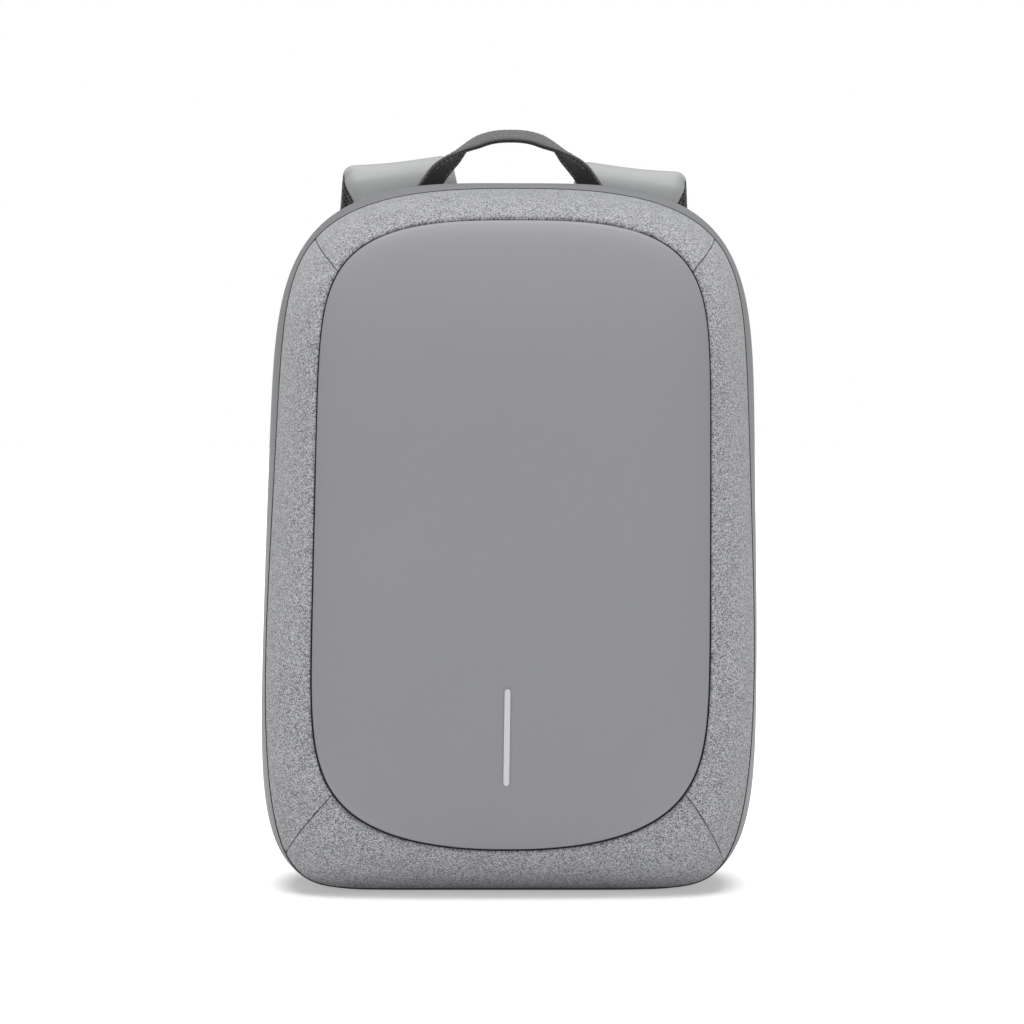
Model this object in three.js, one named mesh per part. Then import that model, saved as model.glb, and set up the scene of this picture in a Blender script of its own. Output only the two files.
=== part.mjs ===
// Anti theft backpack standing upright on its base, in millimetres.
// +Z is up and the front faces -Y. The origin is on the floor, in the middle of the base.
// The bag is a hollow shell of sewn pieces: a smooth domed front panel, a mitred fabric frame
// round it, a smooth side gusset, a zip at the rear and a padded back panel with two straps.

import * as THREE from 'three';
import { mergeVertices } from 'three/addons/utils/BufferGeometryUtils.js';

// Overall form of the bag
const bodyHeight = 452;
const bodyWidth = 314;
const bodyDepth = 165;
const waistHeight = 220;
const leanPerHeight = 0.013;

// Walls and the gaps that are left between sewn pieces
const gussetWall = 3;
const frameWall = 3;
const panelWall = 4;
const seamGap = 0.4;
const restGap = 0.3;

// Front panel: how far its dome and its soft rim stand forward of the seam
const panelDome = 8.5;
const panelPuff = 2.5;
const panelDomeSquareness = 4;
const panelPuffSquareness = 30;
const pipingWidth = 1.2;
const pipingDepth = 3.2;
const pipingSunk = 0.5;

// Fabric frame: fullness 0 is a straight band from seam to seam and 1 a square corner. The mitres
// are given in turns round the bag where they meet the gusset and where they meet the panel.
const frameFullness = 0.45;
const mitresAtGusset = [-0.134, 0.1215, 0.3785, 0.6265, 0.866];
const mitresAtPanel = [-0.115, 0.1155, 0.3845, 0.615, 0.885];

// Rear zip and padded back panel, whose rim in front of the zip is thinner from backRimShare of its
// outline outwards
const zipWidth = 7;
const backPanelThickness = 8.5;
const backRimThickness = 5;
const backRimShare = 0.985;
const backRimStep = 0.02;
const zipWall = 1.6;
const sliderLength = 14;
const sliderWidth = 6;
const sliderThickness = 3;
const sliderHeightOnSide = 300;

// Light strip on the front panel
const stripLength = 60.5;
const stripWidth = 3.7;
const stripThickness = 0.8;
const stripMiddleHeight = 103.5;
const stripAside = -1.8;
const stripGap = 0.4;

// Carry handle. It is seated at a share of the back panel's thickness from its rear face. Its band is
// cupped across by handleCup up to a share of its half span, and turns between two shares of it from
// the crown's tilt to the feet's.
const handleHalfSpan = 58;
const handleAside = -3.2;
const handleSeatShare = 0.78;
const handleRise = 43.6;
const handleWidth = 20;
const handleFootWidth = 15;
const handleLayer = 1.5;
const handleCup = 2.6;
const handleCupShare = 0.6;
const handleArch = 2.45;
const handleFreeShare = 0.84;
const handleTurnStart = 0.35;
const handleTurnEnd = 1;
const handleCrownTilt = THREE.MathUtils.degToRad(19);
const handleFootTilt = THREE.MathUtils.degToRad(-57);

// Shoulder straps: crown height, reach behind the back panel, middle of each strap from the middle
// plane and how much lower the right one hangs
const strapAboveBody = 13;
const strapCrown = bodyHeight + strapAboveBody;
const strapReach = 46;
const strapOffset = 77.5;
const strapRightDrop = 4;
const strapWidth = 74;
const strapThickness = 11;
const strapCoverThickness = 3;
const strapTilt = THREE.MathUtils.degToRad(7);

// Lower webbing and its adjuster
const webbingWidth = 25;
const webbingThickness = 1.6;
const webbingTail = 55;
const adjusterWidth = 34;
const adjusterHeight = 30;
const adjusterThickness = 4;
const adjusterSlot = 5.5;
const anchorWidth = 30;
const anchorHeight = 26;
const anchorBottom = 28;
const anchorInset = 6;

// Fineness of the meshes. A frame piece keeps the shared columns that are more than mitreMargin of a
// step away from its mitres.
const stepsAround = 72;
const mitreMargin = 0.25;
const stepsAcrossGusset = 7;
const stepsAcrossFrame = 5;
const stepsAlongHandle = 24;
const stepsAlongStrap = 22;
const cornerCrowding = 0.35;

// Closed outlines seen from the front. Half width is a share of the body width, foot and crown are
// shares of the body height, and taper is the share of width lost from foot to crown. Each half has
// two exponents: flat for how level the crown or foot runs, straight for how upright the sides run.
const outlines = {
  back: {
    half: 0.478, foot: 0.009, crown: 0.985,
    flatTop: 3.3, straightTop: 6.0, flatFoot: 6.0, straightFoot: 6.0, taper: -0.05,
  },
  bulge: {
    half: 0.500, foot: -0.007, crown: 1.000,
    flatTop: 3.4, straightTop: 5.6, flatFoot: 6.0, straightFoot: 6.6, taper: -0.047,
  },
  seam: {
    half: 0.484, foot: 0.006, crown: 0.989,
    flatTop: 2.66, straightTop: 7.9, flatFoot: 11, straightFoot: 2.65, taper: -0.104,
  },
  panel: {
    half: 0.392, foot: 0.068, crown: 0.939,
    flatTop: 2.9, straightTop: 7.9, flatFoot: 2.25, straightFoot: 6.5, taper: -0.025,
  },
};

// Side profile: how far forward of the back face each seam runs, as shares of the body depth,
// by height as a share of the body height.
const profile = [
  { height: 0.00, seam: 0.610, panel: 0.740 },
  { height: 0.13, seam: 0.630, panel: 0.850 },
  { height: 0.33, seam: 0.650, panel: 0.897 },
  { height: 0.55, seam: 0.600, panel: 0.872 },
  { height: 0.75, seam: 0.530, panel: 0.820 },
  { height: 0.90, seam: 0.450, panel: 0.745 },
  { height: 1.00, seam: 0.370, panel: 0.670 },
];

// Rings of the front panel from its rim to its middle, as shares of its outline.
const panelRings = [1, 0.985, 0.96, 0.92, 0.85, 0.75, 0.63, 0.5, 0.36, 0.2, 0];
const panelInnerRings = [0, 0.3, 0.6, 0.85, 0.95, 1];

// Rings of the back panel: share of its outline and share of its full thickness there.
const backPanelRings = [
  { share: 1.00, thick: 0.45 },
  { share: 0.985, thick: 0.80 },
  { share: 0.95, thick: 1.00 },
  { share: 0.60, thick: 1.00 },
];

// Shoulder strap from its root on the back panel, over the crown and down behind.
// out is a share of the reach, up of the crown height, aside of the offset, and wide and thick of
// the strap's width and thickness.
const strapRows = [
  { out: 0.10, up: 0.895, aside: 0.900, wide: 1.00, thick: 0.62 },
  { out: 0.10, up: 0.925, aside: 0.925, wide: 1.00, thick: 0.70 },
  { out: 0.16, up: 0.960, aside: 0.955, wide: 1.00, thick: 0.80 },
  { out: 0.25, up: 0.988, aside: 0.985, wide: 0.98, thick: 0.90 },
  { out: 0.40, up: 1.000, aside: 1.005, wide: 0.97, thick: 0.95 },
  { out: 0.60, up: 0.985, aside: 1.020, wide: 0.97, thick: 1.00 },
  { out: 0.80, up: 0.945, aside: 1.035, wide: 0.98, thick: 1.00 },
  { out: 0.96, up: 0.870, aside: 1.075, wide: 1.00, thick: 1.00 },
  { out: 1.00, up: 0.760, aside: 1.150, wide: 1.00, thick: 1.00 },
  { out: 0.92, up: 0.620, aside: 1.240, wide: 0.94, thick: 1.00 },
  { out: 0.74, up: 0.490, aside: 1.320, wide: 0.82, thick: 0.95 },
  { out: 0.56, up: 0.410, aside: 1.370, wide: 0.66, thick: 0.80 },
  { out: 0.50, up: 0.378, aside: 1.380, wide: 0.54, thick: 0.64 },
  { out: 0.50, up: 0.362, aside: 1.380, wide: 0.50, thick: 0.60 },
];

// Cross-section of a strap layer: across as a share of the half width, through from -1, the face
// next to the other layer, to 1, its far face.
const layerSection = [
  { across: -1.00, through: -0.45 },
  { across: -0.93, through: -1.00 },
  { across: 0.93, through: -1.00 },
  { across: 1.00, through: -0.45 },
  { across: 1.00, through: 0.45 },
  { across: 0.93, through: 1.00 },
  { across: -0.93, through: 1.00 },
  { across: -1.00, through: 0.45 },
];

// Where the pieces meet from back to front
const backFace = bodyDepth / 2;
const backInner = backFace - backPanelThickness;
const zipRear = backInner + backPanelThickness - backRimThickness - restGap;
const gussetRear = zipRear - zipWidth - restGap;
const bagMiddle = new THREE.Vector3(0, 0, waistHeight);

const materials = {
  smooth: { color: 0x929297, roughness: 0.55, metalness: 0 },
  melange: { color: 0x9b9da1, roughness: 0.9, metalness: 0 },
  gusset: { color: 0x8c8d90, roughness: 0.6, metalness: 0 },
  strap: { color: 0x9fa0a1, roughness: 0.6, metalness: 0 },
  mesh: { color: 0x3c3d3e, roughness: 0.95, metalness: 0 },
  webbing: { color: 0x77787a, roughness: 0.85, metalness: 0 },
  dark: { color: 0x24262b, roughness: 0.7, metalness: 0 },
  plastic: { color: 0x2b2c2e, roughness: 0.45, metalness: 0 },
  reflective: { color: 0xc3c2c6, roughness: 0.35, metalness: 0.1 },
};

// Small helpers
function mix(a, b, share) {
  return a + (b - a) * share;
}

// Smooth value of one column of a table whose rows rise with key.
function smoothColumn(rows, key, column, at) {
  const last = rows.length - 1;
  let row = 0;
  while (row < last - 1 && at > rows[row + 1][key]) row += 1;
  const slope = (i) => {
    const low = rows[Math.max(i - 1, 0)];
    const high = rows[Math.min(i + 1, last)];
    return (high[column] - low[column]) / (high[key] - low[key]);
  };
  const span = rows[row + 1][key] - rows[row][key];
  const t = THREE.MathUtils.clamp((at - rows[row][key]) / span, 0, 1);
  const rise = rows[row + 1][column] - rows[row][column];
  const pull = slope(row) * span - rise;
  const push = rise - slope(row + 1) * span;
  return rows[row][column] + rise * t + t * (1 - t) * (pull * (1 - t) + push * t);
}

// How far a point lies from the middle of an outline, 1 on the outline itself. across and up are
// shares of its half width and half height.
function outlineReach(across, up, flat, straight) {
  let reach = Math.max(across, up);
  for (let i = 0; i < 12 && reach > 0; i += 1) {
    const a = (across / reach) ** flat;
    const b = (up / reach) ** straight;
    reach += reach * (a + b - 1) / (flat * a + straight * b);
  }
  return reach;
}

function outlineHalf(outline, isUpper) {
  const end = (isUpper ? outline.crown : outline.foot) * bodyHeight;
  return {
    height: Math.abs(end - waistHeight),
    flat: isUpper ? outline.flatTop : outline.flatFoot,
    straight: isUpper ? outline.straightTop : outline.straightFoot,
  };
}

// Half width of an outline at a height, before its corners are rounded
function outlineWidth(outline, z) {
  const share = (z - waistHeight) / ((outline.crown - outline.foot) * bodyHeight);
  return outline.half * bodyWidth * (1 + outline.taper * share);
}

// Point of a closed outline. turns goes once round from 0 to 1: right, top, left, base.
// grow moves the point outwards, square to the outline.
function outlinePoint(outline, turns, grow = 0) {
  const at = (share) => {
    const quarter = share * 4;
    const crowded = quarter + cornerCrowding * Math.sin(2 * Math.PI * quarter) / (2 * Math.PI);
    const across = Math.cos(crowded * Math.PI / 2);
    const up = Math.sin(crowded * Math.PI / 2);
    const { height, flat, straight } = outlineHalf(outline, up > 0);
    const reach = outlineReach(Math.abs(across), Math.abs(up), flat, straight);
    const z = waistHeight + up / reach * height;
    return new THREE.Vector2(across / reach * outlineWidth(outline, z), z);
  };
  const point = at(turns);
  if (grow === 0) return point;
  const along = at(turns + 1e-4).sub(at(turns - 1e-4)).normalize();
  return point.add(new THREE.Vector2(along.y, -along.x).multiplyScalar(grow));
}

// Distance of a point from the middle of an outline, 1 on the outline itself.
function outlineShare(outline, x, z) {
  const { height, flat, straight } = outlineHalf(outline, z > waistHeight);
  const across = Math.abs(x) / outlineWidth(outline, z);
  const up = Math.abs(z - waistHeight) / height;
  return outlineReach(across, up, flat, straight);
}

// Height of the crown of an outline at a distance from the middle plane.
function crownHeight(outline, x) {
  const { height, flat, straight } = outlineHalf(outline, true);
  const across = Math.abs(x) / outlineWidth(outline, waistHeight + height);
  return waistHeight + height * (1 - across ** flat) ** (1 / straight);
}

// Half width of an outline at a height.
function sideAt(outline, z) {
  const { height, flat, straight } = outlineHalf(outline, z > waistHeight);
  const up = Math.abs(z - waistHeight) / height;
  return outlineWidth(outline, z) * (1 - up ** straight) ** (1 / flat);
}

function seamFront(column, z) {
  return backFace - bodyDepth * smoothColumn(profile, 'height', column, z / bodyHeight);
}

// The bag is flat where it rests on the floor.
function onFloor(point) {
  point.z = Math.max(point.z, 0);
  return point;
}

// Outer surface of the gusset: turns goes round, across goes from the zip, 0, to the seam, 1.
function gussetSurface(turns, across) {
  const rear = outlinePoint(outlines.back, turns);
  const wide = outlinePoint(outlines.bulge, turns);
  const front = outlinePoint(outlines.seam, turns);
  const frontY = seamFront('seam', front.y) + seamGap / 2;
  const pullX = 2 * wide.x - (rear.x + front.x) / 2;
  const pullZ = 2 * wide.y - (rear.y + front.y) / 2;
  const a = (1 - across) ** 2;
  const b = 2 * across * (1 - across);
  const c = across ** 2;
  return onFloor(new THREE.Vector3(
    a * rear.x + b * pullX + c * front.x,
    mix(gussetRear, frontY, across),
    a * rear.y + b * pullZ + c * front.y,
  ));
}

// Outer surface of the fabric frame: across goes from the gusset seam, 0, to the panel seam, 1.
function frameSurface(turns, across) {
  const outer = outlinePoint(outlines.seam, turns);
  const inner = outlinePoint(outlines.panel, turns, pipingWidth / 2 + restGap);
  const outerY = seamFront('seam', outer.y) - seamGap / 2;
  const innerY = seamFront('panel', inner.y);
  const start = new THREE.Vector3(outer.x, outerY, outer.y);
  const end = new THREE.Vector3(inner.x, innerY, inner.y);
  const corner = new THREE.Vector3(outer.x, innerY, outer.y);
  const pull = start.clone().lerp(end, 0.5).lerp(corner, frameFullness);
  const curve = new THREE.QuadraticBezierCurve3(start, pull, end);
  return onFloor(curve.getPoint(across));
}

// How far forward the front panel stands at a point seen from the front.
function panelFront(x, z) {
  const share = outlineShare(outlines.panel, x, z);
  const dome = panelDome * (1 - share ** panelDomeSquareness);
  const puff = panelPuff * (1 - Math.min(share, 1) ** panelPuffSquareness);
  return seamFront('panel', z) - dome - puff;
}

function panelSurface(turns, share) {
  const rim = outlinePoint(outlines.panel, turns, -(pipingWidth / 2 + restGap));
  const x = rim.x * share;
  const z = mix(waistHeight, rim.y, share);
  return new THREE.Vector3(x, panelFront(x, z), z);
}

// Point of a surface moved square to it by depth, towards the inside of the bag.
function inwards(surface, turns, across, depth) {
  const step = 1e-3;
  const point = surface(turns, across);
  const along = surface(turns + step, across).sub(surface(turns - step, across));
  const over = surface(turns, across + step).sub(surface(turns, across - step));
  const normal = along.cross(over).normalize();
  const facing = Math.sign(normal.dot(bagMiddle.clone().sub(point)));
  return point.addScaledVector(normal, facing * depth);
}

// Closed solid over a grid of rows, each row a closed loop of as many points.
// Where wrap is false the first and last rows have to be folded flat or to one point.
function skin(rows, wrap) {
  const size = rows[0].length;
  const positions = rows.flat()
    .flatMap((point) => [point.x + leanPerHeight * point.z, point.y, point.z]);
  const index = [];
  const bands = wrap ? rows.length : rows.length - 1;
  for (let i = 0; i < bands; i += 1) {
    const next = (i + 1) % rows.length;
    for (let j = 0; j < size; j += 1) {
      const beside = (j + 1) % size;
      const a = i * size + j;
      const b = i * size + beside;
      const c = next * size + beside;
      const d = next * size + j;
      index.push(a, b, c, a, c, d);
    }
  }
  return closedGeometry(positions, index);
}

// Merges points that coincide, drops triangles that fold flat and turns all faces outwards.
function closedGeometry(positions, index) {
  const loose = new THREE.BufferGeometry();
  loose.setAttribute('position', new THREE.Float32BufferAttribute(positions, 3));
  loose.setIndex(index);
  const merged = mergeVertices(loose, 1e-4);
  const old = merged.getIndex().array;
  const place = merged.getAttribute('position');
  const kept = [];
  let volume = 0;
  const corner = [new THREE.Vector3(), new THREE.Vector3(), new THREE.Vector3()];
  for (let i = 0; i < old.length; i += 3) {
    const [a, b, c] = [old[i], old[i + 1], old[i + 2]];
    if (a === b || b === c || c === a) continue;
    kept.push([a, b, c]);
    [a, b, c].forEach((vertex, k) => corner[k].fromBufferAttribute(place, vertex));
    volume += corner[0].dot(corner[1].clone().cross(corner[2]));
  }
  const outwards = volume < 0 ? kept.map(([a, b, c]) => [a, c, b]) : kept;
  merged.setIndex(outwards.flat());
  merged.computeVertexNormals();
  return merged;
}

// Places round the bag, in turns, that all its pieces share between two turns.
function columns(from, to) {
  const first = Math.ceil(from * stepsAround - 0.5);
  const last = Math.ceil(to * stepsAround - 0.5);
  return Array.from({ length: last - first }, (_, i) => (first + i + 0.5) / stepsAround);
}

// Row of points round the bag at one step across a surface.
function ringRow(surface, across, depth = 0) {
  if (depth === 0) return columns(0, 1).map((turns) => surface(turns, across));
  return columns(0, 1).map((turns) => inwards(surface, turns, across, depth));
}

function shares(steps) {
  return Array.from({ length: steps + 1 }, (_, i) => i / steps);
}

// Loop of points about a centre folded to that centre, which closes the end of a loft.
function foldedToMiddle(loop) {
  const middle = new THREE.Vector3();
  loop.forEach((point) => middle.addScaledVector(point, 1 / loop.length));
  return loop.map(() => middle);
}

// Loop of a thin wall, outer points then inner points in turn, folded to its middle line.
function foldedToLine(loop) {
  const last = loop.length - 1;
  return loop.map((point, i) => point.clone().lerp(loop[last - i], 0.5));
}

function loft(loops, fold) {
  return skin([fold(loops[0]), ...loops, fold(loops[loops.length - 1])], false);
}

const group = new THREE.Group();

function add(name, geometry, finish) {
  const mesh = new THREE.Mesh(geometry, new THREE.MeshStandardMaterial(materials[finish]));
  mesh.name = name;
  group.add(mesh);
}

// Inner edge of a wall where it meets the seam between gusset and frame, square to the outline
function seamInner(turns, y, wall) {
  const point = outlinePoint(outlines.seam, turns, -wall);
  return new THREE.Vector3(point.x, y, point.y);
}

// Side gusset, all the way round, with the flat base
function sideGusset() {
  const steps = shares(stepsAcrossGusset);
  const outer = steps.map((across) => ringRow(gussetSurface, across));
  const edge = columns(0, 1).map((turns) => seamInner(turns, gussetSurface(turns, 1).y, gussetWall));
  const inner = shares(stepsAcrossGusset - 2).slice(0, -1).reverse()
    .map((across) => ringRow(gussetSurface, across, gussetWall));
  return skin([...outer, edge, ...inner], true);
}

// One side of the fabric frame, from one mitre to the next
function framePiece(mitre) {
  const trim = seamGap / (2 * (bodyWidth + bodyHeight));
  const start = (across) => mix(mitresAtGusset[mitre], mitresAtPanel[mitre], across) + trim;
  const end = (across) => mix(mitresAtGusset[mitre + 1], mitresAtPanel[mitre + 1], across) - trim;
  const margin = mitreMargin / stepsAround;
  const between = columns(start(0), end(0))
    .filter((turns) => turns > Math.max(start(0), start(1)) + margin)
    .filter((turns) => turns < Math.min(end(0), end(1)) - margin);
  const halfway = (edge, turns) => (across) => mix(edge(across), turns, 0.5);
  const places = [
    start,
    halfway(start, between[0]),
    ...between.map((turns) => () => turns),
    halfway(end, between[between.length - 1]),
    end,
  ];
  const steps = shares(stepsAcrossFrame);
  const loops = places.map((turnsAt) => {
    const outer = steps.map((across) => frameSurface(turnsAt(across), across));
    const inner = steps.slice(1, -1)
      .map((across) => inwards(frameSurface, turnsAt(across), across, frameWall));
    const seamEdge = seamInner(turnsAt(0), outer[0].y, frameWall);
    const panelEdge = outer[outer.length - 1].clone();
    panelEdge.y += frameWall;
    return [...outer, panelEdge, ...inner.reverse(), seamEdge];
  });
  return loft(loops, foldedToLine);
}

// Front panel, a domed wall
function frontPanel() {
  const outer = panelRings.map((share) => ringRow(panelSurface, share));
  const inner = panelInnerRings.map((share) => {
    if (share > 0) return ringRow(panelSurface, share, panelWall);
    return ringRow(panelSurface, 0).map((point) => point.clone().setY(point.y + panelWall));
  });
  return skin([...outer, ...inner], true);
}

// Dark piping in the groove round the front panel
function panelPiping() {
  const corners = [[-1, 0], [1, 0], [1, 1], [-1, 1]];
  const rows = corners.map(([side, deep]) => columns(0, 1).map((turns) => {
    const point = outlinePoint(outlines.panel, turns, side * pipingWidth / 2);
    const y = seamFront('panel', point.y) + pipingSunk + deep * pipingDepth;
    return new THREE.Vector3(point.x, y, point.y);
  }));
  return skin(rows, true);
}

// Closed zip between the gusset and the back panel
function rearZip() {
  const corners = [[0, 0], [0, 1], [1, 1], [1, 0]];
  const rows = corners.map(([deep, rear]) => columns(0, 1).map((turns) => {
    const point = outlinePoint(outlines.back, turns, -deep * zipWall);
    return new THREE.Vector3(point.x, gussetRear + restGap + rear * zipWidth, point.y);
  }));
  return skin(rows, true);
}

// Slider of the rear zip, on the right side of the bag
function zipSlider() {
  const top = sliderHeightOnSide + sliderLength / 2;
  const side = Math.max(sideAt(outlines.back, top), sideAt(outlines.back, top - sliderLength));
  const middle = gussetRear + restGap + zipWidth / 2;
  const loops = [0, 1].map((end) => {
    const z = top - end * sliderLength;
    const low = side + restGap;
    const high = low + sliderThickness;
    const half = sliderWidth / 2;
    return [[low, -half], [high, -half], [high, half], [low, half]]
      .map(([x, y]) => new THREE.Vector3(x, middle + y, z));
  });
  return loft(loops, foldedToMiddle);
}

// Padded back panel
function backPanel() {
  const rear = backPanelRings.map(({ share, thick }) => {
    const y = backFace - backPanelThickness * (1 - thick);
    return { share, y };
  });
  const front = [
    { share: 0, y: backInner },
    { share: 0.6, y: backInner },
    { share: backRimShare - backRimStep, y: backInner },
    { share: backRimShare, y: zipRear + restGap },
    { share: 1, y: zipRear + restGap },
  ];
  const rows = [...rear, { share: 0, y: backFace }, ...front];
  return skin(rows.map(({ share, y }) => columns(0, 1).map((turns) => {
    const rim = outlinePoint(outlines.back, turns);
    return new THREE.Vector3(rim.x * share, y, mix(waistHeight, rim.y, share));
  })), true);
}

// Light strip with round ends, lying on the front panel
function lightStrip() {
  const half = stripLength / 2;
  const radius = stripWidth / 2;
  const straight = half - radius;
  const ends = [0, 0.15, 0.5, 1];
  const heights = [
    ...ends.map((share) => -straight - radius * Math.cos(share * Math.PI / 2)),
    ...[-0.6, -0.2, 0.2, 0.6].map((share) => straight * share),
    ...ends.map((share) => straight + radius * Math.cos(share * Math.PI / 2)).reverse(),
  ];
  const loops = heights.slice(1, -1).map((height) => {
    const past = Math.max(Math.abs(height) - straight, 0);
    const wide = Math.sqrt(radius ** 2 - past ** 2);
    const z = stripMiddleHeight + height;
    const top = stripGap + stripThickness;
    return [[-wide, stripGap], [wide, stripGap], [wide, top], [-wide, top]]
      .map(([side, forward]) => {
        const x = stripAside + side;
        return new THREE.Vector3(x, panelFront(x, z) - forward, z);
      });
  });
  return loft(loops, foldedToMiddle);
}

// One layer of the carry handle, from its face next to the other layer to its far face, both
// given as distances outwards from the middle surface
function handleLayerSolid(near, far) {
  const footHeight = crownHeight(outlines.back, handleHalfSpan) + restGap;
  const middleY = backFace - backPanelThickness * handleSeatShare;
  const path = (s) => new THREE.Vector3(
    handleAside + handleHalfSpan * s,
    middleY,
    footHeight + handleRise * (1 - Math.abs(s) ** handleArch),
  );
  const section = (s) => {
    const along = path(s + 1e-3).sub(path(s - 1e-3)).normalize();
    const outward = new THREE.Vector3(-along.z, 0, along.x);
    const turned = THREE.MathUtils.smoothstep(Math.abs(s), handleTurnStart, handleTurnEnd);
    const tilt = mix(handleCrownTilt, handleFootTilt, turned);
    const half = mix(handleWidth, handleFootWidth, turned) / 2;
    const flattened = THREE.MathUtils.smoothstep(Math.abs(s), handleCupShare, handleFreeShare);
    const cup = handleCup * (1 - flattened);
    const rearward = new THREE.Vector3(0, 1, 0);
    const across = rearward.clone().multiplyScalar(Math.cos(tilt));
    across.addScaledVector(outward, Math.sin(tilt));
    const through = outward.clone().multiplyScalar(Math.cos(tilt));
    through.addScaledVector(rearward, -Math.sin(tilt));
    const sides = [-1, -0.5, 0, 0.5, 1];
    const loop = [...sides.map((side) => [side, near]), ...sides.map((side) => [-side, far])]
      .map(([side, lift]) => path(s)
        .addScaledVector(across, side * half)
        .addScaledVector(through, lift - cup * side ** 2));
    return { loop, along };
  };
  const sewn = (s) => section(s).loop.map((point) => {
    const { along } = section(s);
    const seat = crownHeight(outlines.back, point.x) + restGap;
    return point.addScaledVector(along, (seat - point.z) / along.z);
  });
  const free = shares(stepsAlongHandle).map((share) => section(handleFreeShare * (2 * share - 1)).loop);
  return loft([sewn(-handleFreeShare), ...free, sewn(handleFreeShare)], foldedToMiddle);
}

// Middle line of a shoulder strap. side is -1 for the left strap and 1 for the right.
function strapPoints(side) {
  return strapRows.map((row) => new THREE.Vector3(
    side * row.aside * strapOffset,
    backFace + row.out * strapReach,
    row.up * strapCrown - (side > 0 ? strapRightDrop : 0),
  ));
}

// Place on a shoulder strap: its middle, the way across it and the way out of its outer face
function strapFrame(side, share) {
  const curve = new THREE.CatmullRomCurve3(strapPoints(side), false, 'centripetal');
  const last = strapRows.length - 1;
  const along = curve.getTangent(share);
  const level = THREE.MathUtils.smoothstep(share, 0.25, 0.75);
  const tilt = mix(strapTilt, 0, level);
  const across = new THREE.Vector3(side * Math.cos(tilt), 0, -Math.sin(tilt));
  across.addScaledVector(along, -across.dot(along)).normalize();
  const out = across.clone().cross(along).multiplyScalar(side);
  const rows = strapRows.map((row, i) => ({ ...row, share: i / last }));
  return {
    middle: curve.getPoint(share),
    across,
    out,
    half: strapWidth / 2 * smoothColumn(rows, 'share', 'wide', share),
    thick: strapThickness * smoothColumn(rows, 'share', 'thick', share),
  };
}

// One layer of a shoulder strap. The cover is the outer face and the lining is the rest.
function strapLayer(side, isCover) {
  const loops = shares(stepsAlongStrap).map((share) => {
    const { middle, across, out, half, thick } = strapFrame(side, share);
    const split = thick / 2 - strapCoverThickness * thick / strapThickness;
    const near = isCover ? split : split - restGap;
    const far = isCover ? thick / 2 : -thick / 2;
    return layerSection.map((corner) => {
      const lift = mix(near, far, (corner.through + 1) / 2);
      return middle.clone().addScaledVector(across, corner.across * half).addScaledVector(out, lift);
    });
  });
  return loft(loops, foldedToMiddle);
}

// Flat band of webbing along a path in the plane that runs from front to back
function webbingBand(points) {
  const curve = new THREE.CatmullRomCurve3(points, false, 'centripetal');
  const loops = shares(points.length * 2).map((share) => {
    const along = curve.getTangent(share);
    const across = new THREE.Vector3(1, 0, 0);
    across.addScaledVector(along, -across.dot(along)).normalize();
    const through = across.clone().cross(along);
    const half = webbingWidth / 2;
    const deep = webbingThickness / 2;
    return [[-half, -deep], [half, -deep], [half, deep], [-half, deep]].map(([side, lift]) => {
      const point = curve.getPoint(share).addScaledVector(across, side);
      return point.addScaledVector(through, lift);
    });
  });
  return loft(loops, foldedToMiddle);
}

// Places of the lower webbing, all worked out from the strap's end and the adjuster
function webbingPlaces(side) {
  const strapEnd = strapPoints(side)[strapRows.length - 1];
  const x = strapEnd.x;
  const y = strapEnd.y;
  const top = strapEnd.z - adjusterSlot;
  const bottom = top - adjusterHeight;
  const bar = (adjusterHeight - 2 * adjusterSlot) / 3;
  const reach = adjusterThickness / 2 + restGap + webbingThickness / 2;
  return { x, y, top, bottom, bar, reach, end: strapEnd.z };
}

// Points of a half turn of webbing round a bar, from behind it to its front, over the bar where up
// is 1 and under it where up is -1
function halfTurn(x, y, z, reach, up) {
  return shares(4).map((share) => {
    const angle = share * Math.PI;
    return new THREE.Vector3(x, y + reach * Math.cos(angle), z + up * reach * Math.sin(angle));
  });
}

// Short loop of webbing that hangs the adjuster on the strap's end
function strapTab(side) {
  const { x, y, top, bar, reach, end } = webbingPlaces(side);
  const legTop = end - 2 * restGap;
  const turn = top - bar;
  return webbingBand([
    new THREE.Vector3(x, y + reach, legTop),
    ...halfTurn(x, y, turn, reach, -1),
    new THREE.Vector3(x, y - reach, legTop),
  ]);
}

// Distance of each anchor tab from the middle plane, set in from the side of the back panel
function anchorMiddle() {
  return sideAt(outlines.back, anchorBottom) - anchorInset - anchorWidth / 2;
}

// Lower webbing: up from the base of the back panel, round the adjuster's lower bar, free tail behind
function lowerWebbing(side) {
  const { x, y, bottom, bar, reach } = webbingPlaces(side);
  const seatY = backFace + 2 * restGap + webbingThickness / 2;
  const seatTop = anchorBottom + anchorHeight;
  const footX = side * anchorMiddle();
  const turn = bottom + bar;
  const ease = [0.8, 0.55, 0.3, 0.15].map((share) => {
    const eased = THREE.MathUtils.smoothstep(share, 0.15, 1);
    const back = mix(seatY, y - reach, eased);
    return new THREE.Vector3(mix(footX, x, eased), back, mix(seatTop, bottom, share));
  });
  return webbingBand([
    new THREE.Vector3(x, y + reach + 1, bottom - webbingTail),
    new THREE.Vector3(x, y + reach + 0.5, bottom - webbingTail / 2),
    ...halfTurn(x, y, turn, reach, 1),
    ...ease,
    new THREE.Vector3(footX, seatY, seatTop + restGap),
  ]);
}

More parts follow.
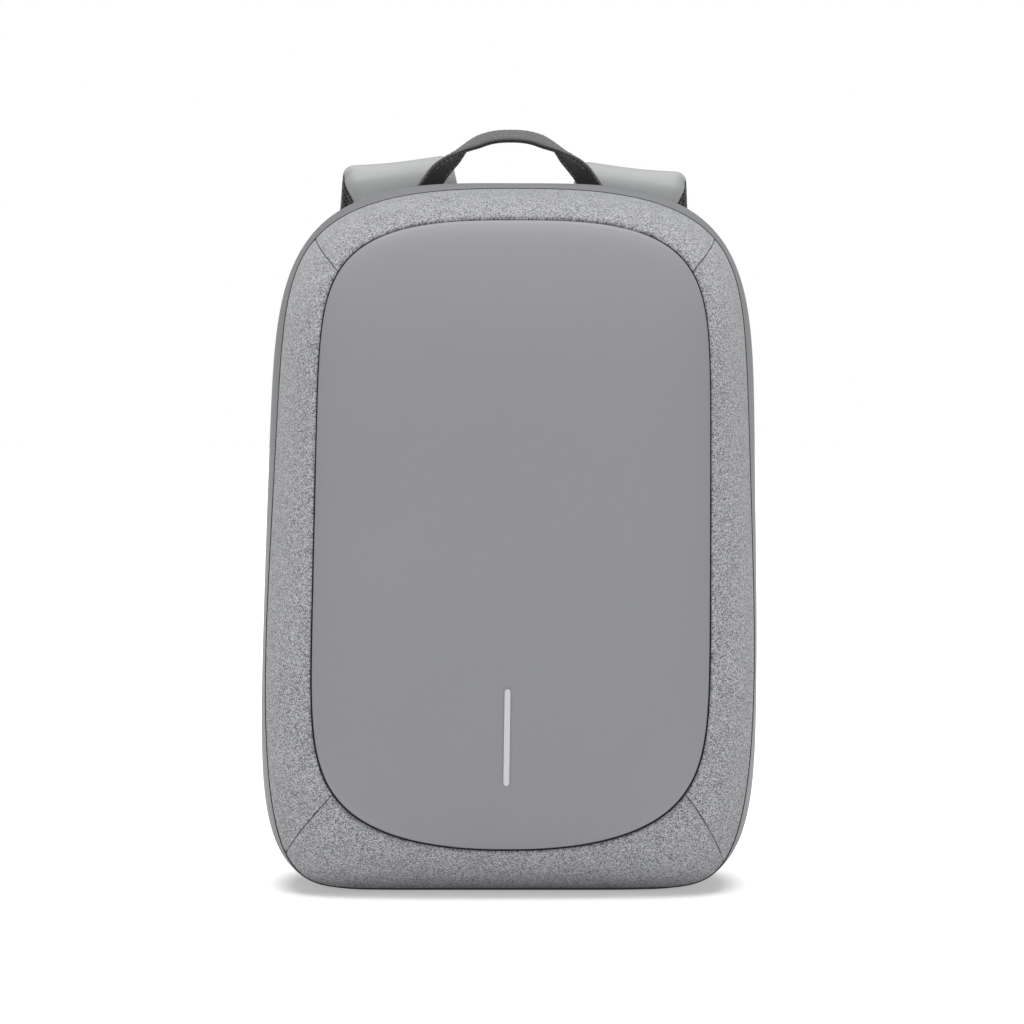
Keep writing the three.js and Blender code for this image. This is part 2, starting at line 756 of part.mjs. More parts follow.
// Adjuster, a plate with a slot over and a slot under its middle bar
function adjuster(side) {
  const { x, y, top, bottom, bar } = webbingPlaces(side);
  const half = adjusterWidth / 2;
  const plate = new THREE.Shape();
  plate.moveTo(-half, bottom);
  plate.lineTo(half, bottom);
  plate.lineTo(half, top);
  plate.lineTo(-half, top);
  plate.closePath();
  const slotHalf = webbingWidth / 2 + 2 * restGap;
  [bottom + bar, top - bar - adjusterSlot].forEach((low) => {
    const slot = new THREE.Path();
    slot.moveTo(-slotHalf, low);
    slot.lineTo(-slotHalf, low + adjusterSlot);
    slot.lineTo(slotHalf, low + adjusterSlot);
    slot.lineTo(slotHalf, low);
    slot.closePath();
    plate.holes.push(slot);
  });
  const flat = new THREE.ExtrudeGeometry(plate, { depth: adjusterThickness, bevelEnabled: false });
  flat.rotateX(Math.PI / 2);
  flat.translate(x, y + adjusterThickness / 2, 0);
  return leaned(flat);
}

// Anchor, a plain tab sewn on the back panel where the lower webbing ends
function anchorTab(side) {
  const half = anchorWidth / 2;
  const tab = new THREE.Shape();
  tab.moveTo(-half, anchorBottom);
  tab.lineTo(half, anchorBottom);
  tab.lineTo(webbingWidth / 2, anchorBottom + anchorHeight);
  tab.lineTo(-webbingWidth / 2, anchorBottom + anchorHeight);
  tab.closePath();
  const flat = new THREE.ExtrudeGeometry(tab, { depth: webbingThickness, bevelEnabled: false });
  flat.rotateX(Math.PI / 2);
  flat.translate(side * anchorMiddle(), backFace + restGap + webbingThickness, 0);
  return leaned(flat);
}

// Gives a three.js geometry the lean of the bag and merges its points.
function leaned(geometry) {
  geometry.deleteAttribute('normal');
  geometry.deleteAttribute('uv');
  const merged = mergeVertices(geometry, 1e-4);
  const place = merged.getAttribute('position');
  const positions = [];
  for (let i = 0; i < place.count; i += 1) {
    positions.push(place.getX(i) + leanPerHeight * place.getZ(i), place.getY(i), place.getZ(i));
  }
  return closedGeometry(positions, Array.from(merged.getIndex().array));
}

add('side_gusset', sideGusset(), 'gusset');
['right', 'top', 'left', 'bottom'].forEach((word, i) => {
  add(`frame_${word}`, framePiece(i), 'melange');
});
add('front_panel', frontPanel(), 'smooth');
add('panel_piping', panelPiping(), 'dark');
add('light_strip', lightStrip(), 'reflective');
add('rear_zip', rearZip(), 'dark');
add('zip_slider', zipSlider(), 'plastic');
add('back_panel', backPanel(), 'mesh');
add('handle_cover', handleLayerSolid(restGap / 2, restGap / 2 + handleLayer), 'webbing');
add('handle_lining', handleLayerSolid(-restGap / 2, -restGap / 2 - handleLayer), 'mesh');
for (const [word, side] of [['left', -1], ['right', 1]]) {
  add(`strap_cover_${word}`, strapLayer(side, true), 'strap');
  add(`strap_lining_${word}`, strapLayer(side, false), 'mesh');
  add(`strap_tab_${word}`, strapTab(side), 'webbing');
  add(`adjuster_${word}`, adjuster(side), 'plastic');
  add(`lower_webbing_${word}`, lowerWebbing(side), 'webbing');
  add(`anchor_tab_${word}`, anchorTab(side), 'smooth');
}

export default group;
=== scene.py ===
# Dresses the anti theft backpack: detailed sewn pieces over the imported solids, in metres.
# The forms are worked out in millimetres from the same sizes as the solids.

import math

import bmesh
import bpy
import numpy as np
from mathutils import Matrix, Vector


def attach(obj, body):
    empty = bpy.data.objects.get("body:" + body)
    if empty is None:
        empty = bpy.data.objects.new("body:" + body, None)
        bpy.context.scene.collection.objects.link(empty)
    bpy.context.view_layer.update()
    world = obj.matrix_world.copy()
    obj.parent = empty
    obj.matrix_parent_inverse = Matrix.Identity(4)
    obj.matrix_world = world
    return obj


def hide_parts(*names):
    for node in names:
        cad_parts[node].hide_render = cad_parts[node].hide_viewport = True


MM = 0.001

# Sizes shared with the solids, in millimetres
BODY_HEIGHT = 452.0
BODY_WIDTH = 314.0
BODY_DEPTH = 165.0
WAIST = 220.0
LEAN = 0.013
GUSSET_WALL = 3.0
FRAME_WALL = 3.0
PANEL_WALL = 4.0
SEAM_GAP = 0.4
REST_GAP = 0.3
PANEL_DOME = 8.5
PANEL_PUFF = 2.5
PANEL_DOME_SQUARENESS = 4.0
PANEL_PUFF_SQUARENESS = 30.0
PIPING_WIDTH = 1.2
PIPING_DEPTH = 3.2
PIPING_SUNK = 0.5
FRAME_FULLNESS = 0.45
MITRES_AT_GUSSET = (-0.134, 0.1215, 0.3785, 0.6265, 0.866)
MITRES_AT_PANEL = (-0.115, 0.1155, 0.3845, 0.615, 0.885)
ZIP_WIDTH = 7.0
BACK_PANEL_THICKNESS = 8.5
BACK_RIM_THICKNESS = 5.0
SLIDER_LENGTH = 14.0
SLIDER_WIDTH = 6.0
SLIDER_HEIGHT_ON_SIDE = 300.0
STRIP_LENGTH = 60.5
STRIP_WIDTH = 3.7
STRIP_THICKNESS = 0.8
STRIP_MIDDLE_HEIGHT = 103.5
STRIP_ASIDE = -1.8
STRIP_GAP = 0.4
HANDLE_HALF_SPAN = 58.0
HANDLE_ASIDE = -3.2
HANDLE_SEAT_SHARE = 0.78
HANDLE_RISE = 43.6
HANDLE_WIDTH = 20.0
HANDLE_FOOT_WIDTH = 15.0
HANDLE_LAYER = 1.5
HANDLE_CUP = 2.6
HANDLE_CUP_SHARE = 0.6
HANDLE_ARCH = 2.45
HANDLE_FREE_SHARE = 0.84
HANDLE_TURN_START = 0.35
HANDLE_TURN_END = 1.0
HANDLE_CROWN_TILT = math.radians(19)
HANDLE_FOOT_TILT = math.radians(-57)
STRAP_CROWN = 465.0
STRAP_REACH = 46.0
STRAP_OFFSET = 77.5
STRAP_RIGHT_DROP = 4.0
STRAP_WIDTH = 74.0
STRAP_THICKNESS = 11.0
STRAP_COVER_THICKNESS = 3.0
STRAP_TILT = math.radians(7)
WEBBING_WIDTH = 25.0
WEBBING_THICKNESS = 1.6
WEBBING_TAIL = 55.0
ADJUSTER_WIDTH = 34.0
ADJUSTER_HEIGHT = 30.0
ADJUSTER_THICKNESS = 4.0
ADJUSTER_SLOT = 5.5
ANCHOR_WIDTH = 30.0
ANCHOR_HEIGHT = 26.0
ANCHOR_BOTTOM = 28.0
ANCHOR_INSET = 6.0

# Outlines seen from the front: half width, foot, crown, the exponents flat and straight of the
# upper and of the lower half, and the taper from foot to crown
OUTLINES = {
    "back": (0.478, 0.009, 0.985, 3.3, 6.0, 6.0, 6.0, -0.05),
    "bulge": (0.500, -0.007, 1.000, 3.4, 5.6, 6.0, 6.6, -0.047),
    "seam": (0.484, 0.006, 0.989, 2.66, 7.9, 11.0, 2.65, -0.104),
    "panel": (0.392, 0.068, 0.939, 2.9, 7.9, 2.25, 6.5, -0.025),
}

# Side profile: heights as shares of the body height, and how far forward each seam runs
PROFILE_HEIGHTS = np.array([0.00, 0.13, 0.33, 0.55, 0.75, 0.90, 1.00])
PROFILE = {
    "seam": np.array([0.610, 0.630, 0.650, 0.600, 0.530, 0.450, 0.370]),
    "panel": np.array([0.740, 0.850, 0.897, 0.872, 0.820, 0.745, 0.670]),
}

# Shoulder strap from its root over the crown and down: out, up, aside, wide, thick
STRAP_ROWS = np.array([
    [0.10, 0.895, 0.900, 1.00, 0.62],
    [0.10, 0.925, 0.925, 1.00, 0.70],
    [0.16, 0.960, 0.955, 1.00, 0.80],
    [0.25, 0.988, 0.985, 0.98, 0.90],
    [0.40, 1.000, 1.005, 0.97, 0.95],
    [0.60, 0.985, 1.020, 0.97, 1.00],
    [0.80, 0.945, 1.035, 0.98, 1.00],
    [0.96, 0.870, 1.075, 1.00, 1.00],
    [1.00, 0.760, 1.150, 1.00, 1.00],
    [0.92, 0.620, 1.240, 0.94, 1.00],
    [0.74, 0.490, 1.320, 0.82, 0.95],
    [0.56, 0.410, 1.370, 0.66, 0.80],
    [0.50, 0.378, 1.380, 0.54, 0.64],
    [0.50, 0.362, 1.380, 0.50, 0.60],
])

# Where the pieces meet from back to front
BACK_FACE = BODY_DEPTH / 2
BACK_INNER = BACK_FACE - BACK_PANEL_THICKNESS
ZIP_REAR = BACK_FACE - BACK_RIM_THICKNESS - REST_GAP
GUSSET_REAR = ZIP_REAR - ZIP_WIDTH - REST_GAP
BAG_MIDDLE = np.array([0.0, 0.0, WAIST])

# Soft detail that the solids leave out, in millimetres unless it is a share
# The radius below is of a dark cord in the front seam between gusset and fabric: painted shade of the
# seam's groove
SEAM_SHADE_RADIUS = 0.6
PIPING_RADIUS = 0.85
PIPING_INSET = 0.9
BRIDGE_WIDTH = 2.2
PULL_WIDTH = 4.4
TOOTH_PITCH = 1.45
STITCH_LENGTH = 2.6
STITCH_PITCH = 3.7
STITCH_RADIUS = 0.27
STITCH_LIFT = 0.1
TOOTH_SUNK = 0.45
HANDLE_STITCH_INSET = 2.1
STRAP_FLAT_SHARE = 0.8
STRAP_EDGE_DROP = 3.0
STRAP_TUCK = 9.0
PAD_CHANNEL = 2.2
PAD_RISE = 3.0

# Lengths that the coordinates of the cloth run over
GUSSET_ROUND = 1440
GUSSET_OVER = 220
PIPING_ROUND = 1180
ZIP_ROUND = 1420

# Fineness of the meshes
AROUND = 560
CORD_SIDES = 10
HANDLE_STEPS = 130
STRAP_STEPS = 170
PAD_VOXEL = 5.0
PAD_FRAMES = 20


# Small helpers

def mix(a, b, share):
    return a + (b - a) * share


def smoothstep(value, low, high):
    share = np.clip((value - low) / (high - low), 0, 1)
    return share * share * (3 - 2 * share)


def unit(vectors):
    return vectors / np.maximum(np.linalg.norm(vectors, axis=-1, keepdims=True), 1e-12)


def vector(x, y, z):
    return np.stack(np.broadcast_arrays(x, y, z), axis=-1).astype(float)


def smooth_column(keys, values, at):
    last = len(keys) - 1
    at = np.asarray(at, float)
    row = np.searchsorted(keys[1:-1], at, side="left")
    low = np.maximum(np.arange(last + 1) - 1, 0)
    high = np.minimum(np.arange(last + 1) + 1, last)
    slopes = (values[high] - values[low]) / (keys[high] - keys[low])
    span = keys[row + 1] - keys[row]
    t = np.clip((at - keys[row]) / span, 0, 1)
    rise = values[row + 1] - values[row]
    pull = slopes[row] * span - rise
    push = rise - slopes[row + 1] * span
    return values[row] + rise * t + t * (1 - t) * (pull * (1 - t) + push * t)


# Outlines

def outline_reach(across, up, flat, straight):
    reach = np.maximum(across, up)
    there = reach > 0
    reach = np.where(there, reach, 1.0)
    for _ in range(12):
        a = (across / reach) ** flat
        b = (up / reach) ** straight
        reach = reach + reach * (a + b - 1) / np.maximum(flat * a + straight * b, 1e-12)
        reach = np.where(there, reach, 1.0)
    return np.where(there, reach, 0.0)


def outline_half(name, upper):
    _, foot, crown, flat_top, straight_top, flat_foot, straight_foot, _ = OUTLINES[name]
    height = np.where(upper, crown * BODY_HEIGHT - WAIST, WAIST - foot * BODY_HEIGHT)
    return height, np.where(upper, flat_top, flat_foot), np.where(upper, straight_top, straight_foot)


def outline_width(name, z):
    half, foot, crown, *_, taper = OUTLINES[name]
    return half * BODY_WIDTH * (1 + taper * (z - WAIST) / ((crown - foot) * BODY_HEIGHT))


def outline_at(name, turns):
    quarter = turns * 4
    crowded = quarter + 0.35 * np.sin(2 * np.pi * quarter) / (2 * np.pi)
    across = np.cos(crowded * np.pi / 2)
    up = np.sin(crowded * np.pi / 2)
    height, flat, straight = outline_half(name, up > 0)
    reach = outline_reach(np.abs(across), np.abs(up), flat, straight)
    z = WAIST + up / reach * height
    return across / reach * outline_width(name, z), z


def outline_point(name, turns, grow=0.0):
    turns = np.asarray(turns, float)
    x, z = outline_at(name, turns)
    ahead = outline_at(name, turns + 1e-4)
    behind = outline_at(name, turns - 1e-4)
    along_x = ahead[0] - behind[0]
    along_z = ahead[1] - behind[1]
    length = np.hypot(along_x, along_z)
    return x + along_z / length * grow, z - along_x / length * grow


def outline_share(name, x, z):
    height, flat, straight = outline_half(name, z > WAIST)
    return outline_reach(np.abs(x) / outline_width(name, z), np.abs(z - WAIST) / height, flat, straight)


def crown_height(name, x):
    height, flat, straight = outline_half(name, np.full(np.shape(x), True))
    across = np.abs(x) / outline_width(name, WAIST + height)
    return WAIST + height * (1 - across ** flat) ** (1 / straight)


def side_at(name, z):
    height, flat, straight = outline_half(name, np.asarray(z) > WAIST)
    up = np.abs(z - WAIST) / height
    return outline_width(name, z) * (1 - up ** straight) ** (1 / flat)


def seam_front(name, z):
    return BACK_FACE - BODY_DEPTH * smooth_column(PROFILE_HEIGHTS, PROFILE[name], z / BODY_HEIGHT)


# Surfaces of the body

def on_floor(points):
    points[..., 2] = np.maximum(points[..., 2], 0)
    return points


def gusset_surface(turns, across):
    rear_x, rear_z = outline_point("back", turns)
    wide_x, wide_z = outline_point("bulge", turns)
    front_x, front_z = outline_point("seam", turns)
    front_y = seam_front("seam", front_z) + SEAM_GAP / 2
    pull_x = 2 * wide_x - (rear_x + front_x) / 2
    pull_z = 2 * wide_z - (rear_z + front_z) / 2
    a = (1 - across) ** 2
    b = 2 * across * (1 - across)
    c = across ** 2
    return on_floor(vector(
        a * rear_x + b * pull_x + c * front_x,
        mix(GUSSET_REAR, front_y, across),
        a * rear_z + b * pull_z + c * front_z,
    ))


def frame_surface(turns, across):
    outer_x, outer_z = outline_point("seam", turns)
    inner_x, inner_z = outline_point("panel", turns, PIPING_WIDTH / 2 + REST_GAP)
    outer_y = seam_front("seam", outer_z) - SEAM_GAP / 2
    inner_y = seam_front("panel", inner_z)
    start = vector(outer_x, outer_y, outer_z)
    end = vector(inner_x, inner_y, inner_z)
    corner = vector(outer_x, inner_y, outer_z)
    pull = mix((start + end) / 2, corner, FRAME_FULLNESS)
    share = np.asarray(across)[..., None]
    return on_floor((1 - share) ** 2 * start + 2 * share * (1 - share) * pull + share ** 2 * end)


def panel_front(x, z):
    share = outline_share("panel", x, z)
    dome = PANEL_DOME * (1 - share ** PANEL_DOME_SQUARENESS)
    puff = PANEL_PUFF * (1 - np.minimum(share, 1) ** PANEL_PUFF_SQUARENESS)
    return seam_front("panel", z) - dome - puff


def panel_surface(turns, share):
    rim_x, rim_z = outline_point("panel", turns, -(PIPING_WIDTH / 2 + REST_GAP))
    x = rim_x * share
    z = mix(WAIST, rim_z, share)
    return vector(x, panel_front(x, z), z)


def outward(surface, turns, across):
    """Unit normal of a surface, away from the middle of the bag."""
    step = 1e-3
    along = surface(turns + step, across) - surface(turns - step, across)
    over = surface(turns, across + step) - surface(turns, across - step)
    normal = unit(np.cross(along, over))
    facing = np.sign(np.sum(normal * (surface(turns, across) - BAG_MIDDLE), axis=-1, keepdims=True))
    return normal * facing


def rolled(distance, radius, depth):
    """How deep a sewn edge rolls in at a distance from the seam."""
    near = 1 - np.clip(distance / radius, 0, 1)
    return depth * (1 - np.sqrt(1 - near ** 2))


def run_lengths(points, axis):
    """Length along a grid of points up to each point."""
    steps = np.linalg.norm(np.diff(points, axis=axis), axis=-1)
    zero = np.zeros_like(np.take(steps, [0], axis=axis))
    return np.cumsum(np.concatenate([zero, steps], axis=axis), axis=axis)


def waves(u, v, seeds):
    """Slow unevenness of soft cloth, from -1 to 1, once round in u."""
    total = 0
    for k, (turns_u, turns_v, phase) in enumerate(seeds):
        total = total + np.sin(2 * np.pi * (turns_u * u + turns_v * v) + phase) / (k + 1)
    return total / 2


def folded(loops):
    """Loops of a wall, outer points then inner points in turn, folded to their middle line."""
    return (loops + loops[:, ::-1]) / 2


def closed_ends(loops):
    """Loops of a loft, with an end added on each side that is folded to one point."""
    middles = loops[[0, -1]].mean(axis=1, keepdims=True)
    first, last = np.repeat(middles, loops.shape[1], axis=1)
    return np.concatenate([first[None], loops, last[None]])


def closed_around(count):
    return (np.arange(count) + 0.5) / count


def ring_uv(over, length):
    """Coordinates of a piece that goes all the way round, over being the way across it."""
    around = np.append(closed_around(AROUND), 1 + 0.5 / AROUND) * length
    return np.stack(np.meshgrid(over, around, indexing="ij"), -1)


def band_uv(rows, section, width):
    """Coordinates of a band: across its section, and along its middle."""
    run = run_lengths(rows.mean(axis=1), 0)
    over = np.append(section[:, 0], section[0, 0]) * width / 2
    return np.stack(np.broadcast_arrays(over[None, :], run[:, None]), -1)


# Meshes

class Form:
    """Points, faces, UVs and slots of one piece, in millimetres."""

    def __init__(self):
        self.points = []
        self.faces = []
        self.uvs = []
        self.slots = []
        self.count = 0

    def grid(self, points, wrap_rows=False, wrap_columns=False, uv=None, slot=0):
        rows, columns = points.shape[:2]
        over_rows = rows if wrap_rows else rows - 1
        over_columns = columns if wrap_columns else columns - 1
        i, j = np.meshgrid(np.arange(over_rows), np.arange(over_columns), indexing="ij")
        i2, j2 = (i + 1) % rows, (j + 1) % columns
        quad = np.stack([i * columns + j, i * columns + j2, i2 * columns + j2, i2 * columns + j], -1)
        if uv is None:
            uv = np.zeros((rows + wrap_rows, columns + wrap_columns, 2))
        corner = np.stack([uv[i, j], uv[i, j + 1], uv[i + 1, j + 1], uv[i + 1, j]], axis=-2)
        quad = quad.reshape(-1, 4)
        corner = corner.reshape(-1, 4, 2)
        self.add(points.reshape(-1, 3), quad, corner, slot)

    def add(self, points, faces, uvs=None, slot=0):
        faces = np.asarray(faces)
        self.points.append(np.asarray(points, float))
        self.faces.append(faces + self.count)
        if uvs is None:
            uvs = np.zeros(faces.shape + (2,))
        self.uvs.append(uvs)
        self.slots.append(np.full(len(faces), slot))
        self.count += len(points)

    def stitches(self, path, up):
        """A row of stitches along a path, each a small rounded rod lying on the cloth."""
        run = run_lengths(path, 0)
        starts = np.arange(STITCH_PITCH, run[-1] - STITCH_PITCH, STITCH_PITCH)
        if len(starts) == 0:
            return
        rings = np.array([[0.0, 0.3], [0.1, 0.85], [0.3, 1.0], [0.7, 1.0], [0.9, 0.85], [1.0, 0.3]])
        at = starts[:, None] + rings[None, :, 0] * STITCH_LENGTH
        centre = np.stack([np.interp(at, run, path[:, k]) for k in range(3)], -1)
        rise = unit(np.stack([np.interp(at, run, up[:, k]) for k in range(3)], -1))
        along = unit(centre[:, -1:] - centre[:, :1]) + np.zeros_like(centre)
        aside = unit(np.cross(along, rise))
        rise = np.cross(aside, along)
        arch = np.sin(np.pi * rings[None, :, 0, None]) * STITCH_RADIUS * 0.5
        centre = centre + rise * (STITCH_LIFT + arch - STITCH_RADIUS * 0.4)
        angle = np.arange(6) / 6 * 2 * np.pi
        size = rings[None, :, 1, None, None] * STITCH_RADIUS
        ring = centre[:, :, None] + size * (
            aside[:, :, None] * np.cos(angle)[None, None, :, None]
            + rise[:, :, None] * np.sin(angle)[None, None, :, None]
        )
        self.tubes(ring)

    def tubes(self, rings):
        """Closed six-sided rods in the second material: rings has the shape (rods, rings, 6, 3)."""
        rods, steps, sides = rings.shape[:3]
        k, i, j = np.meshgrid(np.arange(rods), np.arange(steps - 1), np.arange(sides), indexing="ij")
        base = k * steps * sides
        j2 = (j + 1) % sides
        quad = np.stack([
            base + i * sides + j,
            base + i * sides + j2,
            base + (i + 1) * sides + j2,
            base + (i + 1) * sides + j,
        ], -1).reshape(-1, 4)
        self.add(rings.reshape(-1, 3), quad, slot=1)
        last = (steps - 1) * sides
        start = self.count - len(rings.reshape(-1, 3))
        for first, turn in ((0, -1), (last, 1)):
            ring = np.arange(sides)[::turn] + first
            caps = np.array([start + n * steps * sides + ring for n in range(rods)])
            halves = np.concatenate([caps[:, [0, 1, 2, 3]], caps[:, [0, 3, 4, 5]]])
            self.faces.append(halves)
            self.uvs.append(np.zeros((len(halves), 4, 2)))
            self.slots.append(np.ones(len(halves), int))

    def mesh(self, name):
        points = np.concatenate(self.points)
        points[:, 0] += LEAN * points[:, 2]
        faces = np.concatenate(self.faces)
        uvs = np.concatenate(self.uvs)
        slots = np.concatenate(self.slots)
        data = bpy.data.meshes.new(name)
        data.from_pydata((points * MM).tolist(), [], faces.tolist())
        data.uv_layers.new(name="UVMap").data.foreach_set("uv", (uvs * MM).ravel())
        data.polygons.foreach_set("material_index", slots.astype(np.int32))
        data.update()
        joined = bmesh.new()
        joined.from_mesh(data)
        bmesh.ops.remove_doubles(joined, verts=joined.verts, dist=2e-6)
        joined.to_mesh(data)
        joined.free()
        data.polygons.foreach_set("use_smooth", np.ones(len(data.polygons), bool))
        data.validate(clean_customdata=False)
        data.update()
        return data


def turned_out(data):
    """Turns the faces of a closed mesh outwards."""
    count = len(data.polygons)
    centres = np.empty(count * 3)
    normals = np.empty(count * 3)
    areas = np.empty(count)
    data.polygons.foreach_get("center", centres)
    data.polygons.foreach_get("normal", normals)
    data.polygons.foreach_get("area", areas)
    volume = np.sum(centres.reshape(-1, 3) * normals.reshape(-1, 3), axis=1) @ areas
    if volume < 0:
        data.flip_normals()
    return data


def piece(name, form, nodes, slot, *materials):
    data = form if isinstance(form, bpy.types.Mesh) else turned_out(form.mesh(name))
    body = bpy.data.objects.new(name, data)
    bpy.context.scene.collection.objects.link(body)
    for material in materials:
        data.materials.append(material)
    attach(body, "root")
    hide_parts(*nodes)
    return body


# Node materials

class Shader:
    def __init__(self, name, **settings):
        self.material = bpy.data.materials.new(name)
        self.material.use_nodes = True
        self.tree = self.material.node_tree
        self.bsdf = self.tree.nodes["Principled BSDF"]
        for key, value in settings.items():
            self.bsdf.inputs[key.replace("_", " ")].default_value = value

    def node(self, kind, **inputs):
        made = self.tree.nodes.new(kind)
        for key, value in inputs.items():
            self.put(made.inputs[key.replace("_", " ")], value)
        return made

    def put(self, socket, value):
        if isinstance(value, bpy.types.NodeSocket):
            self.tree.links.new(value, socket)
        else:
            socket.default_value = value

    def math(self, operation, *values):
        made = self.tree.nodes.new("ShaderNodeMath")
        made.operation = operation
        for socket, value in zip(made.inputs, values):
            self.put(socket, value)
        return made.outputs[0]

    def times(self, a, b):
        return self.math("MULTIPLY", a, b)

    def plus(self, a, b):
        return self.math("ADD", a, b)

    def scaled(self, value, low, high, to_low, to_high):
        made = self.tree.nodes.new("ShaderNodeMapRange")
        for socket, number in zip(made.inputs, (value, low, high, to_low, to_high)):
            self.put(socket, number)
        return made.outputs[0]

    def blend(self, share, a, b):
        made = self.tree.nodes.new("ShaderNodeMix")
        made.data_type = "RGBA"
        self.put(made.inputs[0], share)
        self.put(made.inputs[6], a)
        self.put(made.inputs[7], b)
        return made.outputs[2]

    def either(self, share, a, b):
        made = self.tree.nodes.new("ShaderNodeMix")
        self.put(made.inputs[0], share)
        self.put(made.inputs[2], a)
        self.put(made.inputs[3], b)
        return made.outputs[0]

    def uv(self, pitch):
        """UV coordinates counted in pitches of so many millimetres."""
        source = self.node("ShaderNodeUVMap")
        source.uv_map = "UVMap"
        parts = self.node("ShaderNodeSeparateXYZ", Vector=source.outputs[0])
        return [self.times(parts.outputs[k], 1 / (pitch * MM)) for k in (0, 1)]

    def place(self):
        return self.node("ShaderNodeTexCoord").outputs["Object"]

    def point(self, x, y, z=0.0):
        made = self.tree.nodes.new("ShaderNodeCombineXYZ")
        for socket, value in zip(made.inputs, (x, y, z)):
            self.put(socket, value)
        return made.outputs[0]

    def noise(self, where, scale, detail=2.0):
        made = self.node("ShaderNodeTexNoise", Vector=where, Scale=scale, Detail=detail)
        return made.outputs["Fac"]

    def fibres(self, size):
        """Fine noise whose grains measure so many millimetres."""
        return self.noise(self.place(), 1 / (size * MM))

    def ranged(self, noise, low, high):
        """Spreads the usual range of a noise from low to high."""
        return self.scaled(noise, 0.3, 0.7, low, high)

    def cells(self, size):
        made = self.node("ShaderNodeTexVoronoi", Vector=self.place(), Scale=1 / (size * MM))
        return made.outputs["Distance"]

    def bump(self, height, distance):
        made = self.node("ShaderNodeBump", Height=height, Distance=distance * MM, Strength=1.0)
        return made.outputs[0]

    def finish(self, colour=None, roughness=None, normal=None):
        for key, value in (("Base Color", colour), ("Roughness", roughness), ("Normal", normal)):
            if value is not None:
                self.put(self.bsdf.inputs[key], value)
        return self.material


def tone(red, green=None, blue=None):
    """Linear colour from an 8-bit one."""
    green = red if green is None else green
    blue = red if blue is None else blue
    shares = [value / 255 for value in (red, green, blue)]
    linear = [s / 12.92 if s <= 0.04045 else ((s + 0.055) / 1.055) ** 2.4 for s in shares]
    return (*linear, 1.0)


def coated_cloth(name, low, high):
    """Matt coated cloth: fine pebble grain, faint clouding of colour and gloss."""
    s = Shader(name, Specular_IOR_Level=0.32, Sheen_Weight=0.12, Sheen_Roughness=0.5)
    clouds = s.noise(s.place(), 9.0, 3.0)
    fine = s.fibres(0.28)
    share = s.plus(s.times(clouds, 0.7), s.times(s.ranged(fine, 0.0, 1.0), 0.3))
    height = s.plus(s.times(s.cells(0.6), 0.8), s.times(fine, 0.35))
    return s.finish(s.blend(share, low, high), s.ranged(clouds, 0.48, 0.57), s.bump(height, 0.045))


def melange_cloth(name):
    """Two-tone plain weave with slubs: each thread keeps its own changing tone."""
    s = Shader(name, Specular_IOR_Level=0.12, Sheen_Weight=0.25, Sheen_Roughness=0.45)
    u, v = s.uv(0.68)
    column, row = s.math("FLOOR", u), s.math("FLOOR", v)
    over_u, over_v = s.math("FRACT", u), s.math("FRACT", v)
    warp = s.noise(s.point(s.times(column, 7.73), s.times(v, 0.6)), 1.0, 0.0)
    weft = s.noise(s.point(s.times(u, 0.55), s.times(row, 7.61), 31.7), 1.0, 0.0)
    parity = s.math("PINGPONG", s.plus(column, row), 1.0)
    thread = s.either(parity, warp, weft)
    patch = s.noise(s.point(s.times(u, 0.05), s.times(v, 0.05), 7.3), 1.0, 2.0)
    share = s.plus(s.scaled(thread, 0.33, 0.67, 0.0, 1.0), s.scaled(patch, 0.35, 0.65, -0.03, 0.03))
    share = s.math("MINIMUM", s.math("MAXIMUM", share, 0.0), 1.0)
    body = s.blend(share, tone(110, 111, 115), tone(206, 207, 210))
    crown_u = s.math("SINE", s.times(over_u, math.pi))
    crown_v = s.math("SINE", s.times(over_v, math.pi))
    up = s.times(crown_u, s.scaled(crown_v, 0.0, 1.0, 0.45, 1.0))
    across = s.times(crown_v, s.scaled(crown_u, 0.0, 1.0, 0.45, 1.0))
    relief = s.either(parity, up, across)
    shade = s.scaled(relief, 0.0, 0.6, 0.35, 0.0)
    colour = s.blend(shade, body, tone(66, 67, 71))
    fuzz = s.fibres(0.2)
    height = s.plus(relief, s.times(fuzz, 0.4))
    return s.finish(colour, s.ranged(fuzz, 0.82, 0.95), s.bump(height, 0.16))


def air_mesh(name, low, high, pitch=2.6):
    """Spacer mesh: rows of small round holes in a knitted face."""
    s = Shader(name, Specular_IOR_Level=0.18, Sheen_Weight=0.2)
    u, v = s.uv(pitch)
    row = s.math("FLOOR", v)
    shifted = s.plus(u, s.times(s.math("PINGPONG", row, 1.0), 0.5))
    off_u = s.math("SUBTRACT", s.math("FRACT", shifted), 0.5)
    off_v = s.math("SUBTRACT", s.math("FRACT", v), 0.5)
    off = s.math("SQRT", s.plus(s.math("POWER", off_u, 2.0), s.math("POWER", off_v, 2.0)))
    face = s.scaled(off, 0.2, 0.38, 0.0, 1.0)
    knit = s.fibres(0.45)
    lit = s.times(face, s.ranged(knit, 0.6, 1.0))
    height = s.plus(face, s.times(knit, 0.35))
    return s.finish(s.blend(lit, low, high), s.ranged(knit, 0.8, 0.95), s.bump(height, 0.5))


